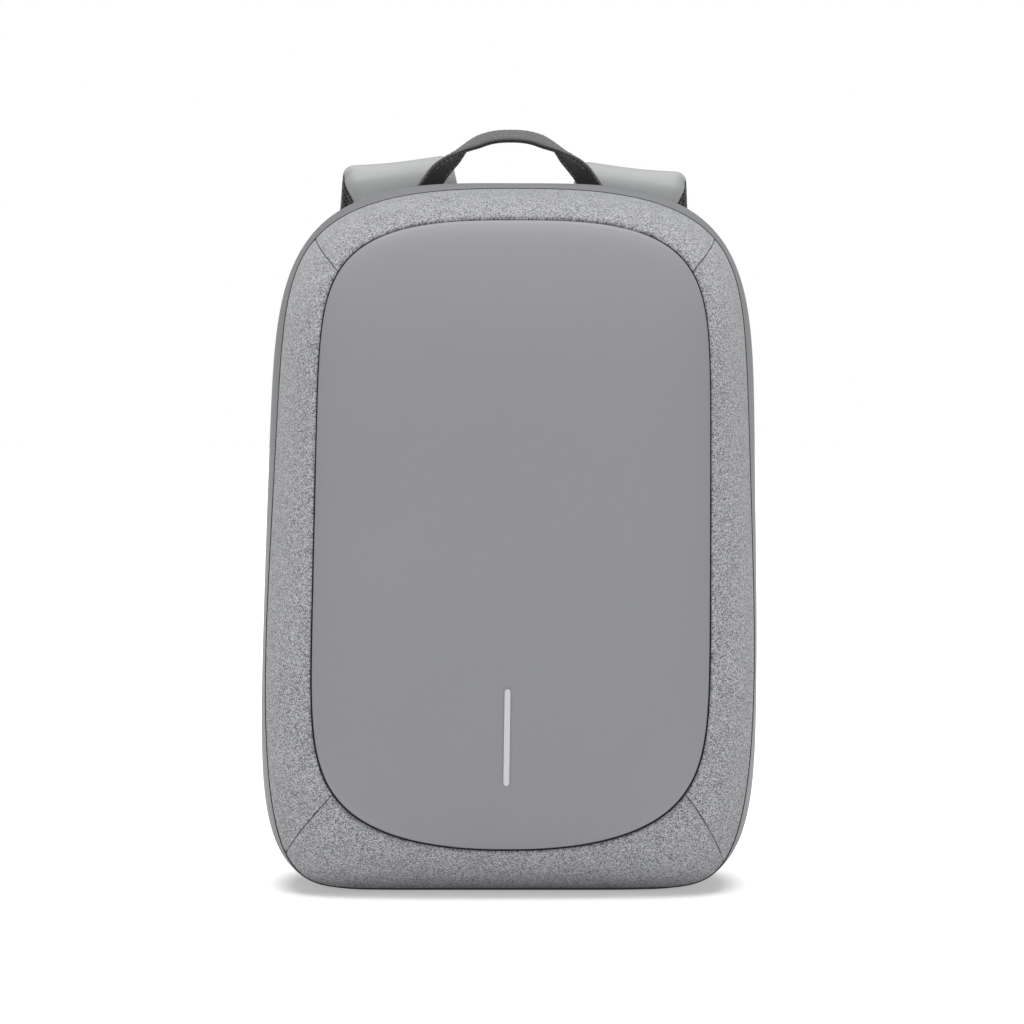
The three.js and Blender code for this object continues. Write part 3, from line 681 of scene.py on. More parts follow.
def woven_band(name, low, high, pitch=1.15):
    """Webbing: ribs along the band crossed by a fine twill."""
    s = Shader(name, Specular_IOR_Level=0.22, Sheen_Weight=0.15)
    u, v = s.uv(pitch)
    lean = s.math("PINGPONG", u, 6.0)
    twill = s.math("FRACT", s.plus(s.times(v, 0.8), s.times(lean, 0.5)))
    rib = s.math("SINE", s.times(s.math("FRACT", u), math.pi))
    wave = s.math("SINE", s.times(twill, math.pi))
    relief = s.times(rib, wave)
    fuzz = s.fibres(0.3)
    # The ribs and the twill are darker in their hollows: painted shade of the weave's relief, with
    # random fuzz on top
    share = s.times(s.scaled(relief, 0.0, 0.8, 0.15, 1.0), s.ranged(fuzz, 0.75, 1.0))
    height = s.plus(relief, s.times(fuzz, 0.3))
    return s.finish(s.blend(share, low, high), s.ranged(fuzz, 0.72, 0.88), s.bump(height, 0.25))


def moulded_plastic(name, low, high):
    s = Shader(name, Specular_IOR_Level=0.45)
    speckle = s.fibres(0.35)
    colour = s.blend(s.noise(s.place(), 60.0), low, high)
    return s.finish(colour, s.ranged(speckle, 0.36, 0.5), s.bump(speckle, 0.03))


def thread(name, low, high):
    s = Shader(name, Specular_IOR_Level=0.3, Sheen_Weight=0.2)
    fibre = s.fibres(0.22)
    return s.finish(s.blend(fibre, low, high), s.ranged(fibre, 0.5, 0.7), s.bump(fibre, 0.05))


def light_film(name):
    """Light-returning film: tiny cells under a clear face."""
    s = Shader(name, Specular_IOR_Level=0.5, Metallic=0.15)
    cells = s.cells(0.32)
    colour = s.blend(s.scaled(cells, 0.1, 0.6, 0.0, 1.0), tone(214, 213, 217), tone(196, 195, 200))
    return s.finish(colour, s.scaled(cells, 0.0, 0.6, 0.3, 0.44), s.bump(cells, 0.03))


def white_floor(name):
    """Lit white table top, which throws light up from below too, and which glows more strongly to the
    camera than it lights the scene: painted light that lightens the shadows on it.
    """
    s = Shader(name, Specular_IOR_Level=0.1)
    grain = s.noise(s.place(), 40.0)
    seen = s.bsdf
    # Emission of the face the camera sees: painted light, which lightens the shadow by the bag's base
    # without lighting anything
    seen.inputs["Emission Color"].default_value = (1.0, 1.0, 1.0, 1.0)
    seen.inputs["Emission Strength"].default_value = 0.38
    s.finish(s.blend(grain, tone(246), tone(250)), s.scaled(grain, 0.0, 1.0, 0.85, 0.95))
    thrown = s.node("ShaderNodeBsdfDiffuse", Color=tone(246))
    glow = s.node("ShaderNodeEmission", Strength=0.08)
    under = s.node("ShaderNodeAddShader")
    s.put(under.inputs[0], thrown.outputs[0])
    s.put(under.inputs[1], glow.outputs[0])
    path = s.node("ShaderNodeLightPath")
    either = s.node("ShaderNodeMixShader")
    s.put(either.inputs[0], path.outputs["Is Camera Ray"])
    s.put(either.inputs[1], under.outputs[0])
    s.put(either.inputs[2], seen.outputs[0])
    s.put(s.tree.nodes["Material Output"].inputs["Surface"], either.outputs[0])
    return s.material


# Pieces of the body

# Shares from an edge inwards where the sewn pieces have their fine rows
GUSSET_FINE = np.array([0.0, 0.004, 0.008, 0.013, 0.02, 0.03, 0.045])
FRAME_FINE_ALONG = np.array([0.0, 0.0015, 0.003, 0.005, 0.008, 0.013, 0.02])
FRAME_FINE_ACROSS = np.array([0.0, 0.01, 0.022, 0.04, 0.065, 0.1])


def spread(count, edge):
    """Shares from 0 to 1, close together at both ends."""
    middle = np.linspace(edge[-1], 1 - edge[-1], count)[1:-1]
    return np.concatenate([edge, middle, 1 - edge[::-1]])


def side_gusset():
    turns = closed_around(AROUND)[None, :]
    across = spread(26, GUSSET_FINE)[:, None]
    base = gusset_surface(turns, across)
    run = run_lengths(base, 0)
    rear, front = run, run[-1:] - run
    dip = rolled(front, 1.5, 2.0) + rolled(rear, 2.0, 1.2)
    soft = waves(turns, across * 1.3, ((5, 1, 0.4), (9, -1, 2.1), (14, 2, 4.0)))
    swell = 0.3 * soft * np.sin(np.pi * across)
    outer = base + outward(gusset_surface, turns, across) * (swell - dip)[..., None]
    outer[0, :, 1] = GUSSET_REAR
    on_floor(outer)
    shares_in = np.linspace(1, 0, 8)[:, None]
    inner = gusset_surface(turns, shares_in)
    inner = inner - outward(gusset_surface, turns, shares_in) * GUSSET_WALL
    inner[0, :, 1] = gusset_surface(turns, np.array([[1.0]]))[0, :, 1]
    rows = np.concatenate([outer, inner])
    over = np.append(run_lengths(rows, 0).mean(axis=1), GUSSET_OVER)
    form = Form()
    form.grid(rows, wrap_rows=True, wrap_columns=True, uv=ring_uv(over, GUSSET_ROUND))
    # A dark cord in the front seam between gusset and fabric: painted shade of the groove there
    seam_shade = ring_rows("seam", -SEAM_GAP / 2, lambda z: seam_front("seam", z), SEAM_SHADE_RADIUS, SEAM_SHADE_RADIUS)
    form.grid(seam_shade, wrap_rows=True, wrap_columns=True, slot=1)
    return form


def frame_piece(index):
    trim = SEAM_GAP / (2 * (BODY_WIDTH + BODY_HEIGHT))
    along = spread(150 if index % 2 == 0 else 110, FRAME_FINE_ALONG)
    across = spread(20, FRAME_FINE_ACROSS)
    over = across[None, :]
    first = mix(MITRES_AT_GUSSET[index], MITRES_AT_PANEL[index], over) + trim
    last = mix(MITRES_AT_GUSSET[index + 1], MITRES_AT_PANEL[index + 1], over) - trim
    turns = mix(first, last, along[:, None])
    base = frame_surface(turns, over)
    run = run_lengths(base, 1)
    gusset_side, panel_side = run, run[:, -1:] - run
    length = run_lengths(base, 0)
    low_end, high_end = length, length[-1:] - length
    dip = rolled(gusset_side, 1.4, 1.8) + rolled(panel_side, 2.2, 1.5)
    dip = dip + rolled(low_end, 0.9, 0.7) + rolled(high_end, 0.9, 0.7)
    soft = waves(turns, over, ((7, 1, 1.1), (12, -1, 0.2), (19, 1, 2.7)))
    swell = 0.25 * soft * np.sin(np.pi * over)
    outer = base + outward(frame_surface, turns, over) * (swell - dip)[..., None]
    on_floor(outer)
    inner = base - outward(frame_surface, turns, over) * FRAME_WALL
    loops = np.concatenate([outer, on_floor(inner)[:, ::-1]], axis=1)
    loops = np.concatenate([folded(loops[:1]), loops, folded(loops[-1:])])
    inner_x, inner_z = outline_point("panel", turns[:, -1], PIPING_WIDTH / 2 + REST_GAP)
    outer_x, outer_z = outline_point("seam", turns[:, 0])
    way = unit(np.stack([outer_x - inner_x, outer_z - inner_z], -1))
    flat_out = np.stack([inner_x, inner_z], -1)[:, None] + way[:, None] * panel_side[..., None]
    flat = np.concatenate([flat_out, flat_out[:, ::-1], flat_out[:, :1]], axis=1)
    flat = np.concatenate([flat[:1], flat, flat[-1:]])
    form = Form()
    form.grid(loops, wrap_columns=True, uv=flat)
    return form


PANEL_RINGS = np.array([
    1, 0.9985, 0.997, 0.995, 0.992, 0.988, 0.983, 0.976, 0.967, 0.955, 0.94, 0.92, 0.895, 0.865, 0.83,
    0.79, 0.74, 0.68, 0.62, 0.55, 0.47, 0.39, 0.30, 0.21, 0.13, 0.06, 0,
])


def front_panel():
    turns = closed_around(AROUND)[None, :]
    shares = PANEL_RINGS[:, None]
    outer = panel_surface(turns, shares)
    run = run_lengths(outer, 0)
    outer[..., 1] += rolled(run, 2.4, 1.2)
    inner = panel_surface(turns, np.array([0, 0.3, 0.6, 0.85, 0.95, 0.985, 1.0])[:, None])
    inner[..., 1] += PANEL_WALL
    rows = np.concatenate([inner, outer])
    uv = rows[..., [0, 2]]
    uv = np.concatenate([uv, uv[:, :1]], axis=1)
    form = Form()
    form.grid(rows, wrap_columns=True, uv=uv)
    return form


def ring_rows(name, grow, depth_at, half_wide, half_deep):
    """Points of a rounded tube all the way round an outline."""
    turns = closed_around(AROUND)[None, :]
    angle = (np.arange(CORD_SIDES) / CORD_SIDES * 2 * np.pi)[:, None]
    x, z = outline_point(name, turns, grow + half_wide * np.cos(angle))
    middle_z = outline_point(name, turns, grow)[1]
    return on_floor(vector(x, depth_at(middle_z) - half_deep * np.sin(angle), z))


def panel_piping():
    deep = PIPING_DEPTH / 2
    middle = PIPING_SUNK + PIPING_INSET + deep
    rows = ring_rows("panel", 0.0, lambda z: seam_front("panel", z) + middle, PIPING_RADIUS, deep)
    over = np.arange(len(rows) + 1) / len(rows) * 2 * np.pi * PIPING_RADIUS
    form = Form()
    form.grid(rows, wrap_rows=True, wrap_columns=True, uv=ring_uv(over, PIPING_ROUND))
    return form


def light_strip():
    insets = np.array([0.0, 0.0, 0.03, 0.12, 0.3, 0.7, 1.3, STRIP_WIDTH / 2])
    heights = np.array([0.0, 0.45, 0.6, 0.74, 0.8, 0.8, 0.8, 0.8]) / 0.8 * STRIP_THICKNESS
    half_turn = np.linspace(0, np.pi, 25)
    side = np.linspace(1, -1, 42)[1:-1]
    turn_x = np.concatenate([np.cos(half_turn), -np.ones(40), -np.cos(half_turn), np.ones(40)])
    turn_z = np.concatenate([np.sin(half_turn), np.zeros(40), -np.sin(half_turn), np.zeros(40)])
    along = np.concatenate([np.ones(25), side, -np.ones(25), -side])
    straight = STRIP_LENGTH / 2 - STRIP_WIDTH / 2
    rows = []
    for inset, height in zip(np.append(insets, insets[-1:]), np.append(heights, 0.0)):
        radius = STRIP_WIDTH / 2 - inset
        x = STRIP_ASIDE + radius * turn_x
        z = STRIP_MIDDLE_HEIGHT + straight * along + radius * turn_z
        rows.append(vector(x, panel_front(x, z) - STRIP_GAP * 0.3 - height, z))
    rows = np.array(rows)
    form = Form()
    uv = rows[..., [0, 2]]
    uv = np.concatenate([np.concatenate([uv, uv[:1]]), np.concatenate([uv, uv[:1]])[:, :1]], axis=1)
    form.grid(rows, wrap_rows=True, wrap_columns=True, uv=uv)
    return form


def rear_zip():
    """Woven tape in the groove at the rear edge, and the teeth of the closed zip on it."""
    form = Form()
    turns = closed_around(AROUND)[None, :]
    low = GUSSET_REAR + REST_GAP
    section = np.array([
        [0.0, -0.7], [0.3, -0.35], [2.2, -0.35], [2.5, -0.8], [4.5, -0.8], [4.8, -0.35], [6.7, -0.35],
        [7.0, -0.7], [7.0, -1.6], [0.0, -1.6],
    ])
    x, z = outline_point("back", turns, section[:, 1:2])
    rows = vector(x, low + section[:, :1], z)
    over = np.append(section[:, 0], 0.0)
    form.grid(rows, wrap_rows=True, wrap_columns=True, uv=ring_uv(over, ZIP_ROUND))
    fine = closed_around(4000)
    fx, fz = outline_point("back", fine, -TOOTH_SUNK)
    path = np.stack([fx, fz], -1)
    run = run_lengths(np.concatenate([path, path[:1]]), 0)
    count = int(run[-1] / TOOTH_PITCH / 2) * 2
    at = np.arange(count) * run[-1] / count
    turns_at = np.interp(at, run, np.append(fine, fine[0] + 1))
    cx, cz = outline_point("back", turns_at, -TOOTH_SUNK)
    ax, az = outline_point("back", turns_at + 1e-4, -TOOTH_SUNK)
    along = unit(vector(ax - cx, 0, az - cz))
    up = vector(along[:, 2], 0, -along[:, 0])
    side = np.where(np.arange(count) % 2 == 0, 1.0, -1.0)
    middle = low + ZIP_WIDTH / 2
    rings = np.array([[-1.5, 0.5], [-1.15, 1.0], [1.0, 1.0], [1.4, 0.55]])
    angle = np.arange(6) / 6 * 2 * np.pi
    centre = vector(cx, middle, cz)[:, None, None] + np.zeros((count, 4, 6, 3))
    centre[..., 1] += (rings[None, :, 0, None] + 0.75) * side[:, None, None]
    spin = (along[:, None, None] * np.cos(angle)[None, None, :, None] * 0.5
            + up[:, None, None] * np.sin(angle)[None, None, :, None] * 0.62)
    teeth = centre + spin * rings[None, :, 1, None, None]
    form.tubes(teeth)
    return form


def rounded_box(low, high, radius, steps=4):
    """Closed box with rounded edges, as rings along Z."""
    low, high = np.asarray(low, float), np.asarray(high, float)
    arc = np.linspace(0, np.pi / 2, steps + 1)
    rings = []
    heights = [(low[2] + radius * (1 - np.sin(a)), radius * (1 - np.cos(a))) for a in arc[::-1]]
    heights += [(high[2] - radius * (1 - np.sin(a)), radius * (1 - np.cos(a))) for a in arc]
    corner = radius * 0.999
    for z, inset in heights:
        ring = []
        for k, (sx, sy) in enumerate(((1, 1), (-1, 1), (-1, -1), (1, -1))):
            cx = (high[0] if sx > 0 else low[0]) - sx * corner
            cy = (high[1] if sy > 0 else low[1]) - sy * corner
            turned = arc + k * np.pi / 2
            reach = max(corner - inset, 0.0)
            ring += [[cx + reach * np.cos(t), cy + reach * np.sin(t), z] for t in turned]
        rings.append(ring)
    return closed_ends(np.array(rings))


def zip_slider():
    """Slider body with its bridge and a short flat pull hanging from it."""
    top = SLIDER_HEIGHT_ON_SIDE + SLIDER_LENGTH / 2
    bottom = top - SLIDER_LENGTH
    reach = max(side_at("back", top), side_at("back", bottom)) + REST_GAP
    middle = GUSSET_REAR + REST_GAP + ZIP_WIDTH / 2
    half = SLIDER_WIDTH / 2
    form = Form()
    body = rounded_box((reach - 0.2, middle - half, bottom + 3), (reach + 1.3, middle + half, top), 0.6)
    waist = 1 - 0.3 * smoothstep(top - body[..., 2], 4, 11)
    body[..., 1] = middle + (body[..., 1] - middle) * waist
    form.grid(body, wrap_columns=True)
    for out, out_to, half, low, high in (
        (1.2, 2.6, BRIDGE_WIDTH / 2, bottom + 5, top - 1.5),
        (1.5, 2.7, PULL_WIDTH / 2, bottom - 9, bottom + 6.5),
    ):
        bar = rounded_box((reach + out, middle - half, low), (reach + out_to, middle + half, high), 0.5)
        form.grid(bar, wrap_columns=True)
    return form


# Padded back panel

def back_pad():
    """Starting shape of the back panel, closed; the shallow channel down the middle is pressed in
    later, by back_panel.
    """
    turns = closed_around(360)[None, :]
    shares = np.array([0.0, 0.2, 0.4, 0.55, 0.7, 0.8, 0.87, 0.92, 0.955, 0.98, 0.993, 1.0])[:, None]
    rim_x, rim_z = outline_point("back", turns, -0.3)
    x = rim_x * shares
    z = mix(WAIST, rim_z, shares)
    edge = np.clip((1 - shares) * 150 / 9, 0, 1)
    full = np.sqrt(1 - (1 - edge) ** 2)
    rim_rear = ZIP_REAR + REST_GAP + 0.6
    rear = vector(x, mix(rim_rear, BACK_FACE - 0.8, full), z)
    front_y = np.where(shares > 0.97, ZIP_REAR + REST_GAP, BACK_INNER)
    front = vector(x, front_y, z)[::-1]
    form = Form()
    form.grid(np.concatenate([front[::-1], rear[::-1]]), wrap_columns=True)
    return form


def inflated(name, data):
    """Swells a pad as padded cloth does, held at its rim, its front and its channel."""
    pad = bpy.data.objects.new(name, data)
    bpy.context.scene.collection.objects.link(pad)
    remesh = pad.modifiers.new("remesh", "REMESH")
    remesh.mode = "VOXEL"
    remesh.voxel_size = PAD_VOXEL * MM
    graph = bpy.context.evaluated_depsgraph_get()
    pad.data = bpy.data.meshes.new_from_object(pad.evaluated_get(graph))
    pad.modifiers.clear()
    start = np.array([v.co for v in pad.data.vertices]) / MM
    straight = start[:, 0] - LEAN * start[:, 2]
    share = outline_share("back", straight, start[:, 2])
    hold = smoothstep(share, 0.90, 0.975)
    hold = np.maximum(hold, 1 - smoothstep(start[:, 1], BACK_INNER + 2, BACK_INNER + 5))
    channel = 1 - smoothstep(np.abs(straight), 5, 12)
    hold = np.maximum(hold, channel)
    group = pad.vertex_groups.new(name="hold")
    for index, weight in enumerate(hold):
        group.add([index], float(weight), "REPLACE")
    cloth = pad.modifiers.new("cloth", "CLOTH")
    cloth.settings.quality = 5
    cloth.settings.mass = 0.3
    cloth.settings.use_pressure = True
    cloth.settings.uniform_pressure_force = 4
    cloth.settings.vertex_group_mass = "hold"
    cloth.settings.effector_weights.gravity = 0
    cloth.point_cache.frame_start = 1
    cloth.point_cache.frame_end = PAD_FRAMES
    scene = bpy.context.scene
    for frame_number in range(1, PAD_FRAMES + 1):
        scene.frame_set(frame_number)
    graph = bpy.context.evaluated_depsgraph_get()
    swollen = bpy.data.meshes.new_from_object(pad.evaluated_get(graph))
    moved = np.array([v.co for v in swollen.vertices]) / MM
    bpy.data.objects.remove(pad)
    scene.frame_set(1)
    shift = moved - start
    size = np.linalg.norm(shift, axis=1, keepdims=True)
    shift = shift * np.minimum(1, PAD_RISE / np.maximum(size, 1e-9))
    return swollen, start + shift, share, channel


def back_panel():
    data = turned_out(back_pad().mesh("back_panel"))
    data, points, share, channel = inflated("back_pad", data)
    sunk = channel * (1 - smoothstep(share, 0.78, 0.9)) * (points[:, 1] > BACK_FACE - 4)
    points[:, 1] -= PAD_CHANNEL * sunk
    points[:, 1] = np.minimum(points[:, 1], BACK_FACE + PAD_CHANNEL)
    even = mix(1, 0.998 / np.maximum(share, 0.5), smoothstep(share, 0.955, 0.975))
    z = WAIST + (points[:, 2] - WAIST) * even
    points[:, 0] = (points[:, 0] - LEAN * points[:, 2]) * even + LEAN * z
    points[:, 2] = z
    data.vertices.foreach_set("co", (points * MM).ravel())
    data.update()
    finer = bpy.data.objects.new("finer", data)
    bpy.context.scene.collection.objects.link(finer)
    finer.modifiers.new("finer", "SUBSURF").levels = 1
    graph = bpy.context.evaluated_depsgraph_get()
    fine = bpy.data.meshes.new_from_object(finer.evaluated_get(graph))
    bpy.data.objects.remove(finer)
    fine.name = "back_panel"
    layer = fine.uv_layers.new(name="UVMap")
    places = np.array([v.co for v in fine.vertices])
    loops = np.empty(len(fine.loops), np.int32)
    fine.loops.foreach_get("vertex_index", loops)
    layer.data.foreach_set("uv", places[loops][:, [0, 2]].ravel())
    fine.polygons.foreach_set("use_smooth", np.ones(len(fine.polygons), bool))
    return turned_out(fine)


# Carry handle

def handle_place(s):
    """Middle of the handle and its ways along, across and through, at shares from -1 to 1."""
    s = np.asarray(s, float)
    foot = crown_height("back", np.array(HANDLE_HALF_SPAN)) + REST_GAP
    middle_y = BACK_FACE - BACK_PANEL_THICKNESS * HANDLE_SEAT_SHARE

    def path(at):
        height = foot + HANDLE_RISE * (1 - np.abs(at) ** HANDLE_ARCH)
        return vector(HANDLE_ASIDE + HANDLE_HALF_SPAN * at, middle_y, height)

    along = unit(path(s + 1e-3) - path(s - 1e-3))
    out = vector(-along[..., 2], 0, along[..., 0])
    turned = smoothstep(np.abs(s), HANDLE_TURN_START, HANDLE_TURN_END)
    tilt = mix(HANDLE_CROWN_TILT, HANDLE_FOOT_TILT, turned)[..., None]
    half = mix(HANDLE_WIDTH, HANDLE_FOOT_WIDTH, turned) / 2
    cup = HANDLE_CUP * (1 - smoothstep(np.abs(s), HANDLE_CUP_SHARE, HANDLE_FREE_SHARE))
    rearward = np.array([0.0, 1.0, 0.0])
    across = rearward * np.cos(tilt) + out * np.sin(tilt)
    through = out * np.cos(tilt) - rearward * np.sin(tilt)
    return path(s), along, across, through, half, cup


def band_section(steps=9):
    """Rounded section of a band: shares across from -1 to 1 and through from 0 to 1."""
    angle = np.linspace(0, np.pi, 7)
    right = np.stack([1 - 0.05 * (1 - np.sin(angle)), (1 - np.cos(angle)) / 2], -1)
    left = np.stack([-right[::-1, 0], right[::-1, 1]], -1)
    inner = np.linspace(-0.95, 0.95, steps)[1:-1]
    low = np.stack([inner, np.zeros_like(inner)], -1)
    high = np.stack([inner[::-1], np.ones_like(inner)], -1)
    return np.concatenate([low, right, high, left])


def handle_layer(near, far):
    section = band_section()
    free = np.linspace(-HANDLE_FREE_SHARE, HANDLE_FREE_SHARE, HANDLE_STEPS)
    middle, along, across, through, half, cup = handle_place(free)
    side = section[None, :, 0, None] * half[:, None, None]
    bent = cup[:, None, None] * section[None, :, 0, None] ** 2
    lift = mix(near, far, section[None, :, 1, None]) - bent
    loops = middle[:, None] + across[:, None] * side + through[:, None] * lift
    ends = []
    for loop, way in ((loops[0], along[0]), (loops[-1], along[-1])):
        seat = crown_height("back", loop[:, 0]) - 0.8
        slid = loop + way * ((seat - loop[:, 2]) / way[2])[:, None]
        ends.append([mix(loop, slid, share) for share in (0.25, 0.5, 0.75, 1.0)])
    rows = np.concatenate([np.array(ends[0][::-1]), loops, np.array(ends[1])])
    rows = closed_ends(rows)
    form = Form()
    form.grid(rows, wrap_columns=True, uv=band_uv(rows, section, HANDLE_WIDTH))
    row = (half - HANDLE_STITCH_INSET)[:, None]
    bent = cup[:, None] * (row / half[:, None]) ** 2
    for edge in (-1, 1):
        path = middle + across * row * edge + through * (far - bent)
        form.stitches(path, through * np.sign(far - near))
    return form


# Shoulder straps

def curve_points(points, shares):
    """Centripetal Catmull-Rom curve through points."""
    points = np.asarray(points, float)
    shares = np.clip(np.asarray(shares, float), 0, 1)
    last = len(points) - 1
    place = shares * last
    index = np.minimum(place.astype(int), last - 1)
    t = (place - index)[:, None]
    longer = np.concatenate([[2 * points[0] - points[1]], points, [2 * points[-1] - points[-2]]])
    p0, p1, p2, p3 = (longer[index + k] for k in range(4))

    def gap(a, b):
        return np.maximum(np.sum((b - a) ** 2, axis=1) ** 0.25, 1e-4)[:, None]

    d0, d1, d2 = gap(p0, p1), gap(p1, p2), gap(p2, p3)
    m1 = ((p1 - p0) / d0 - (p2 - p0) / (d0 + d1) + (p2 - p1) / d1) * d1
    m2 = ((p2 - p1) / d1 - (p3 - p1) / (d1 + d2) + (p3 - p2) / d2) * d1
    c2 = -3 * p1 + 3 * p2 - 2 * m1 - m2
    c3 = 2 * p1 - 2 * p2 + m1 + m2
    return p1 + m1 * t + c2 * t ** 2 + c3 * t ** 3


def curve_ways(points, shares):
    step = 1e-4
    return unit(curve_points(points, shares + step) - curve_points(points, shares - step))


def strap_points(side):
    out, up, aside = STRAP_ROWS[:, 0], STRAP_ROWS[:, 1], STRAP_ROWS[:, 2]
    drop = STRAP_RIGHT_DROP if side > 0 else 0.0
    return vector(side * aside * STRAP_OFFSET, BACK_FACE + out * STRAP_REACH, up * STRAP_CROWN - drop)


def strap_place(side, shares):
    points = strap_points(side)
    along = curve_ways(points, shares)
    tilt = mix(STRAP_TILT, 0, smoothstep(shares, 0.25, 0.75))
    across = vector(side * np.cos(tilt), 0, -np.sin(tilt))
    across = unit(across - along * np.sum(across * along, axis=1, keepdims=True))
    out = np.cross(across, along) * side
    keys = np.linspace(0, 1, len(STRAP_ROWS))
    half = STRAP_WIDTH / 2 * smooth_column(keys, STRAP_ROWS[:, 3], shares)
    thick = STRAP_THICKNESS * smooth_column(keys, STRAP_ROWS[:, 4], shares)
    return curve_points(points, shares), across, out, half, thick


def strap_section(is_cover):
    """Half-round edges on the far side and a flat face on the near side, from -1 to 1 across."""
    across = np.sin(np.linspace(-1, 1, 33) * np.pi / 2)
    across = np.sign(across) * np.abs(across) ** 0.75
    power = 14 if is_cover else 9
    lift = (1 - np.abs(across) ** power) ** 0.5
    flat = np.linspace(0.985, -0.985, 7)
    return np.concatenate([np.stack([across, lift], -1), np.stack([flat, np.zeros(7)], -1)])


def strap_layer(side, is_cover):
    end = np.array([0, 0.002, 0.005])
    shares = np.concatenate([end, np.linspace(0.01, 0.99, STRAP_STEPS), 1 - end[::-1]])
    middle, across, out, half, thick = strap_place(side, shares)
    split = thick / 2 - STRAP_COVER_THICKNESS * thick / STRAP_THICKNESS
    near = split if is_cover else split - REST_GAP
    far = thick / 2 if is_cover else -thick / 2
    section = strap_section(is_cover)
    ends = np.minimum(shares, 1 - shares)
    closing = np.sqrt(np.clip(ends / 0.005, 0.02, 1))
    lift = mix(near[:, None], far[:, None], section[None, :, 1] * closing[:, None])
    bend = np.maximum(np.abs(section[None, :, 0]) - STRAP_FLAT_SHARE, 0) / (1 - STRAP_FLAT_SHARE)
    lift = lift - STRAP_EDGE_DROP * (thick / STRAP_THICKNESS)[:, None] * bend ** 2
    width = half[:, None] * section[None, :, 0] * (1 if is_cover else 0.985)
    if is_cover:
        tucked = STRAP_TUCK * (1 - smoothstep(shares, 0.05, 0.27))
        width = width - tucked[:, None] * smoothstep(section[None, :, 0], 0.4, 1.0)
    loops = middle[:, None] + across[:, None] * width[..., None] + out[:, None] * lift[..., None]
    rows = closed_ends(loops)
    form = Form()
    form.grid(rows, wrap_columns=True, uv=band_uv(rows, section, STRAP_WIDTH))
    return form


# Webbing, adjusters and anchors

def webbing_along(points, steps=120):
    shares = np.linspace(0, 1, steps)
    middle = curve_points(points, shares)
    along = curve_ways(points, shares)
    across = np.array([1.0, 0.0, 0.0]) - along * along[:, :1]
    across = unit(across)
    through = np.cross(across, along)
    section = band_section()
    offset = section[None, :, 0, None] * WEBBING_WIDTH / 2
    lift = (section[None, :, 1, None] - 0.5) * WEBBING_THICKNESS
    loops = middle[:, None] + across[:, None] * offset + through[:, None] * lift
    rows = closed_ends(loops)
    form = Form()
    form.grid(rows, wrap_columns=True, uv=band_uv(rows, section, WEBBING_WIDTH))
    return form, middle, across, through


def webbing_places(side):
    x, y, end = strap_points(side)[-1]
    top = end - ADJUSTER_SLOT
    bottom = top - ADJUSTER_HEIGHT
    bar = (ADJUSTER_HEIGHT - 2 * ADJUSTER_SLOT) / 3
    reach = ADJUSTER_THICKNESS / 2 + REST_GAP + WEBBING_THICKNESS / 2
    return x, y, top, bottom, bar, reach, end


def half_turn(x, y, z, reach, up):
    """Half turn of webbing round a bar, over it where up is 1 and under it where up is -1."""
    angles = np.linspace(0, 1, 5) * np.pi
    return [[x, y + reach * math.cos(a), z + up * reach * math.sin(a)] for a in angles]


def strap_tab(side):
    x, y, top, _, bar, reach, end = webbing_places(side)
    leg_top = end - 2 * REST_GAP
    turn = top - bar
    path = [[x, y + reach, leg_top], *half_turn(x, y, turn, reach, -1), [x, y - reach, leg_top]]
    form, *_ = webbing_along(path)
    return form


def anchor_middle():
    return side_at("back", ANCHOR_BOTTOM) - ANCHOR_INSET - ANCHOR_WIDTH / 2


def lower_webbing(side):
    x, y, _, bottom, bar, reach, _ = webbing_places(side)
    seat_y = BACK_FACE + 2 * REST_GAP + WEBBING_THICKNESS / 2
    seat_top = ANCHOR_BOTTOM + ANCHOR_HEIGHT
    foot_x = side * anchor_middle()
    turn = bottom + bar
    path = [[x, y + reach + 1, bottom - WEBBING_TAIL], [x, y + reach + 0.5, bottom - WEBBING_TAIL / 2]]
    path += half_turn(x, y, turn, reach, 1)
    for share in (0.8, 0.55, 0.3, 0.15):
        eased = float(smoothstep(np.array(share), 0.15, 1))
        back = mix(seat_y, y - reach, eased)
        path.append([mix(foot_x, x, eased), back, mix(seat_top, bottom, share)])
    path.append([foot_x, seat_y, seat_top + REST_GAP])
    form, middle, across, through = webbing_along(path, steps=200)
    run = run_lengths(middle, 0)
    for distance in (3.0, 11.0):
        at = np.array([np.interp(distance, run, middle[:, k]) for k in range(3)])
        line = at + np.linspace(-1, 1, 20)[:, None] * across[0] * (WEBBING_WIDTH / 2 - 2)
        for face in (-1, 1):
            rise = through[0] * face
            form.stitches(line + rise * (WEBBING_THICKNESS / 2), np.tile(rise, (20, 1)))
    return form


def adjuster(side):
    """Ladder lock: two rails and three bars, all softly rounded."""
    x, y, top, bottom, bar, _, _ = webbing_places(side)
    half = ADJUSTER_WIDTH / 2
    deep = ADJUSTER_THICKNESS / 2
    slot_half = WEBBING_WIDTH / 2 + 2 * REST_GAP
    form = Form()
    for sign in (-1, 1):
        outer, inner = sign * half, sign * slot_half
        rail = rounded_box((min(outer, inner), -deep, bottom), (max(outer, inner), deep, top), 1.3, 5)
        form.grid(rail + np.array([x, y, 0.0]), wrap_columns=True)
    middle = (top + bottom) / 2
    reach = slot_half + 1.2
    for low, thin in ((bottom, 0.92), (middle - bar / 2, 0.8), (top - bar, 0.92)):
        cross = rounded_box((-reach, -deep * thin, low), (reach, deep * thin, low + bar), 1.25, 5)
        form.grid(cross + np.array([x, y, 0.0]), wrap_columns=True)
    return form


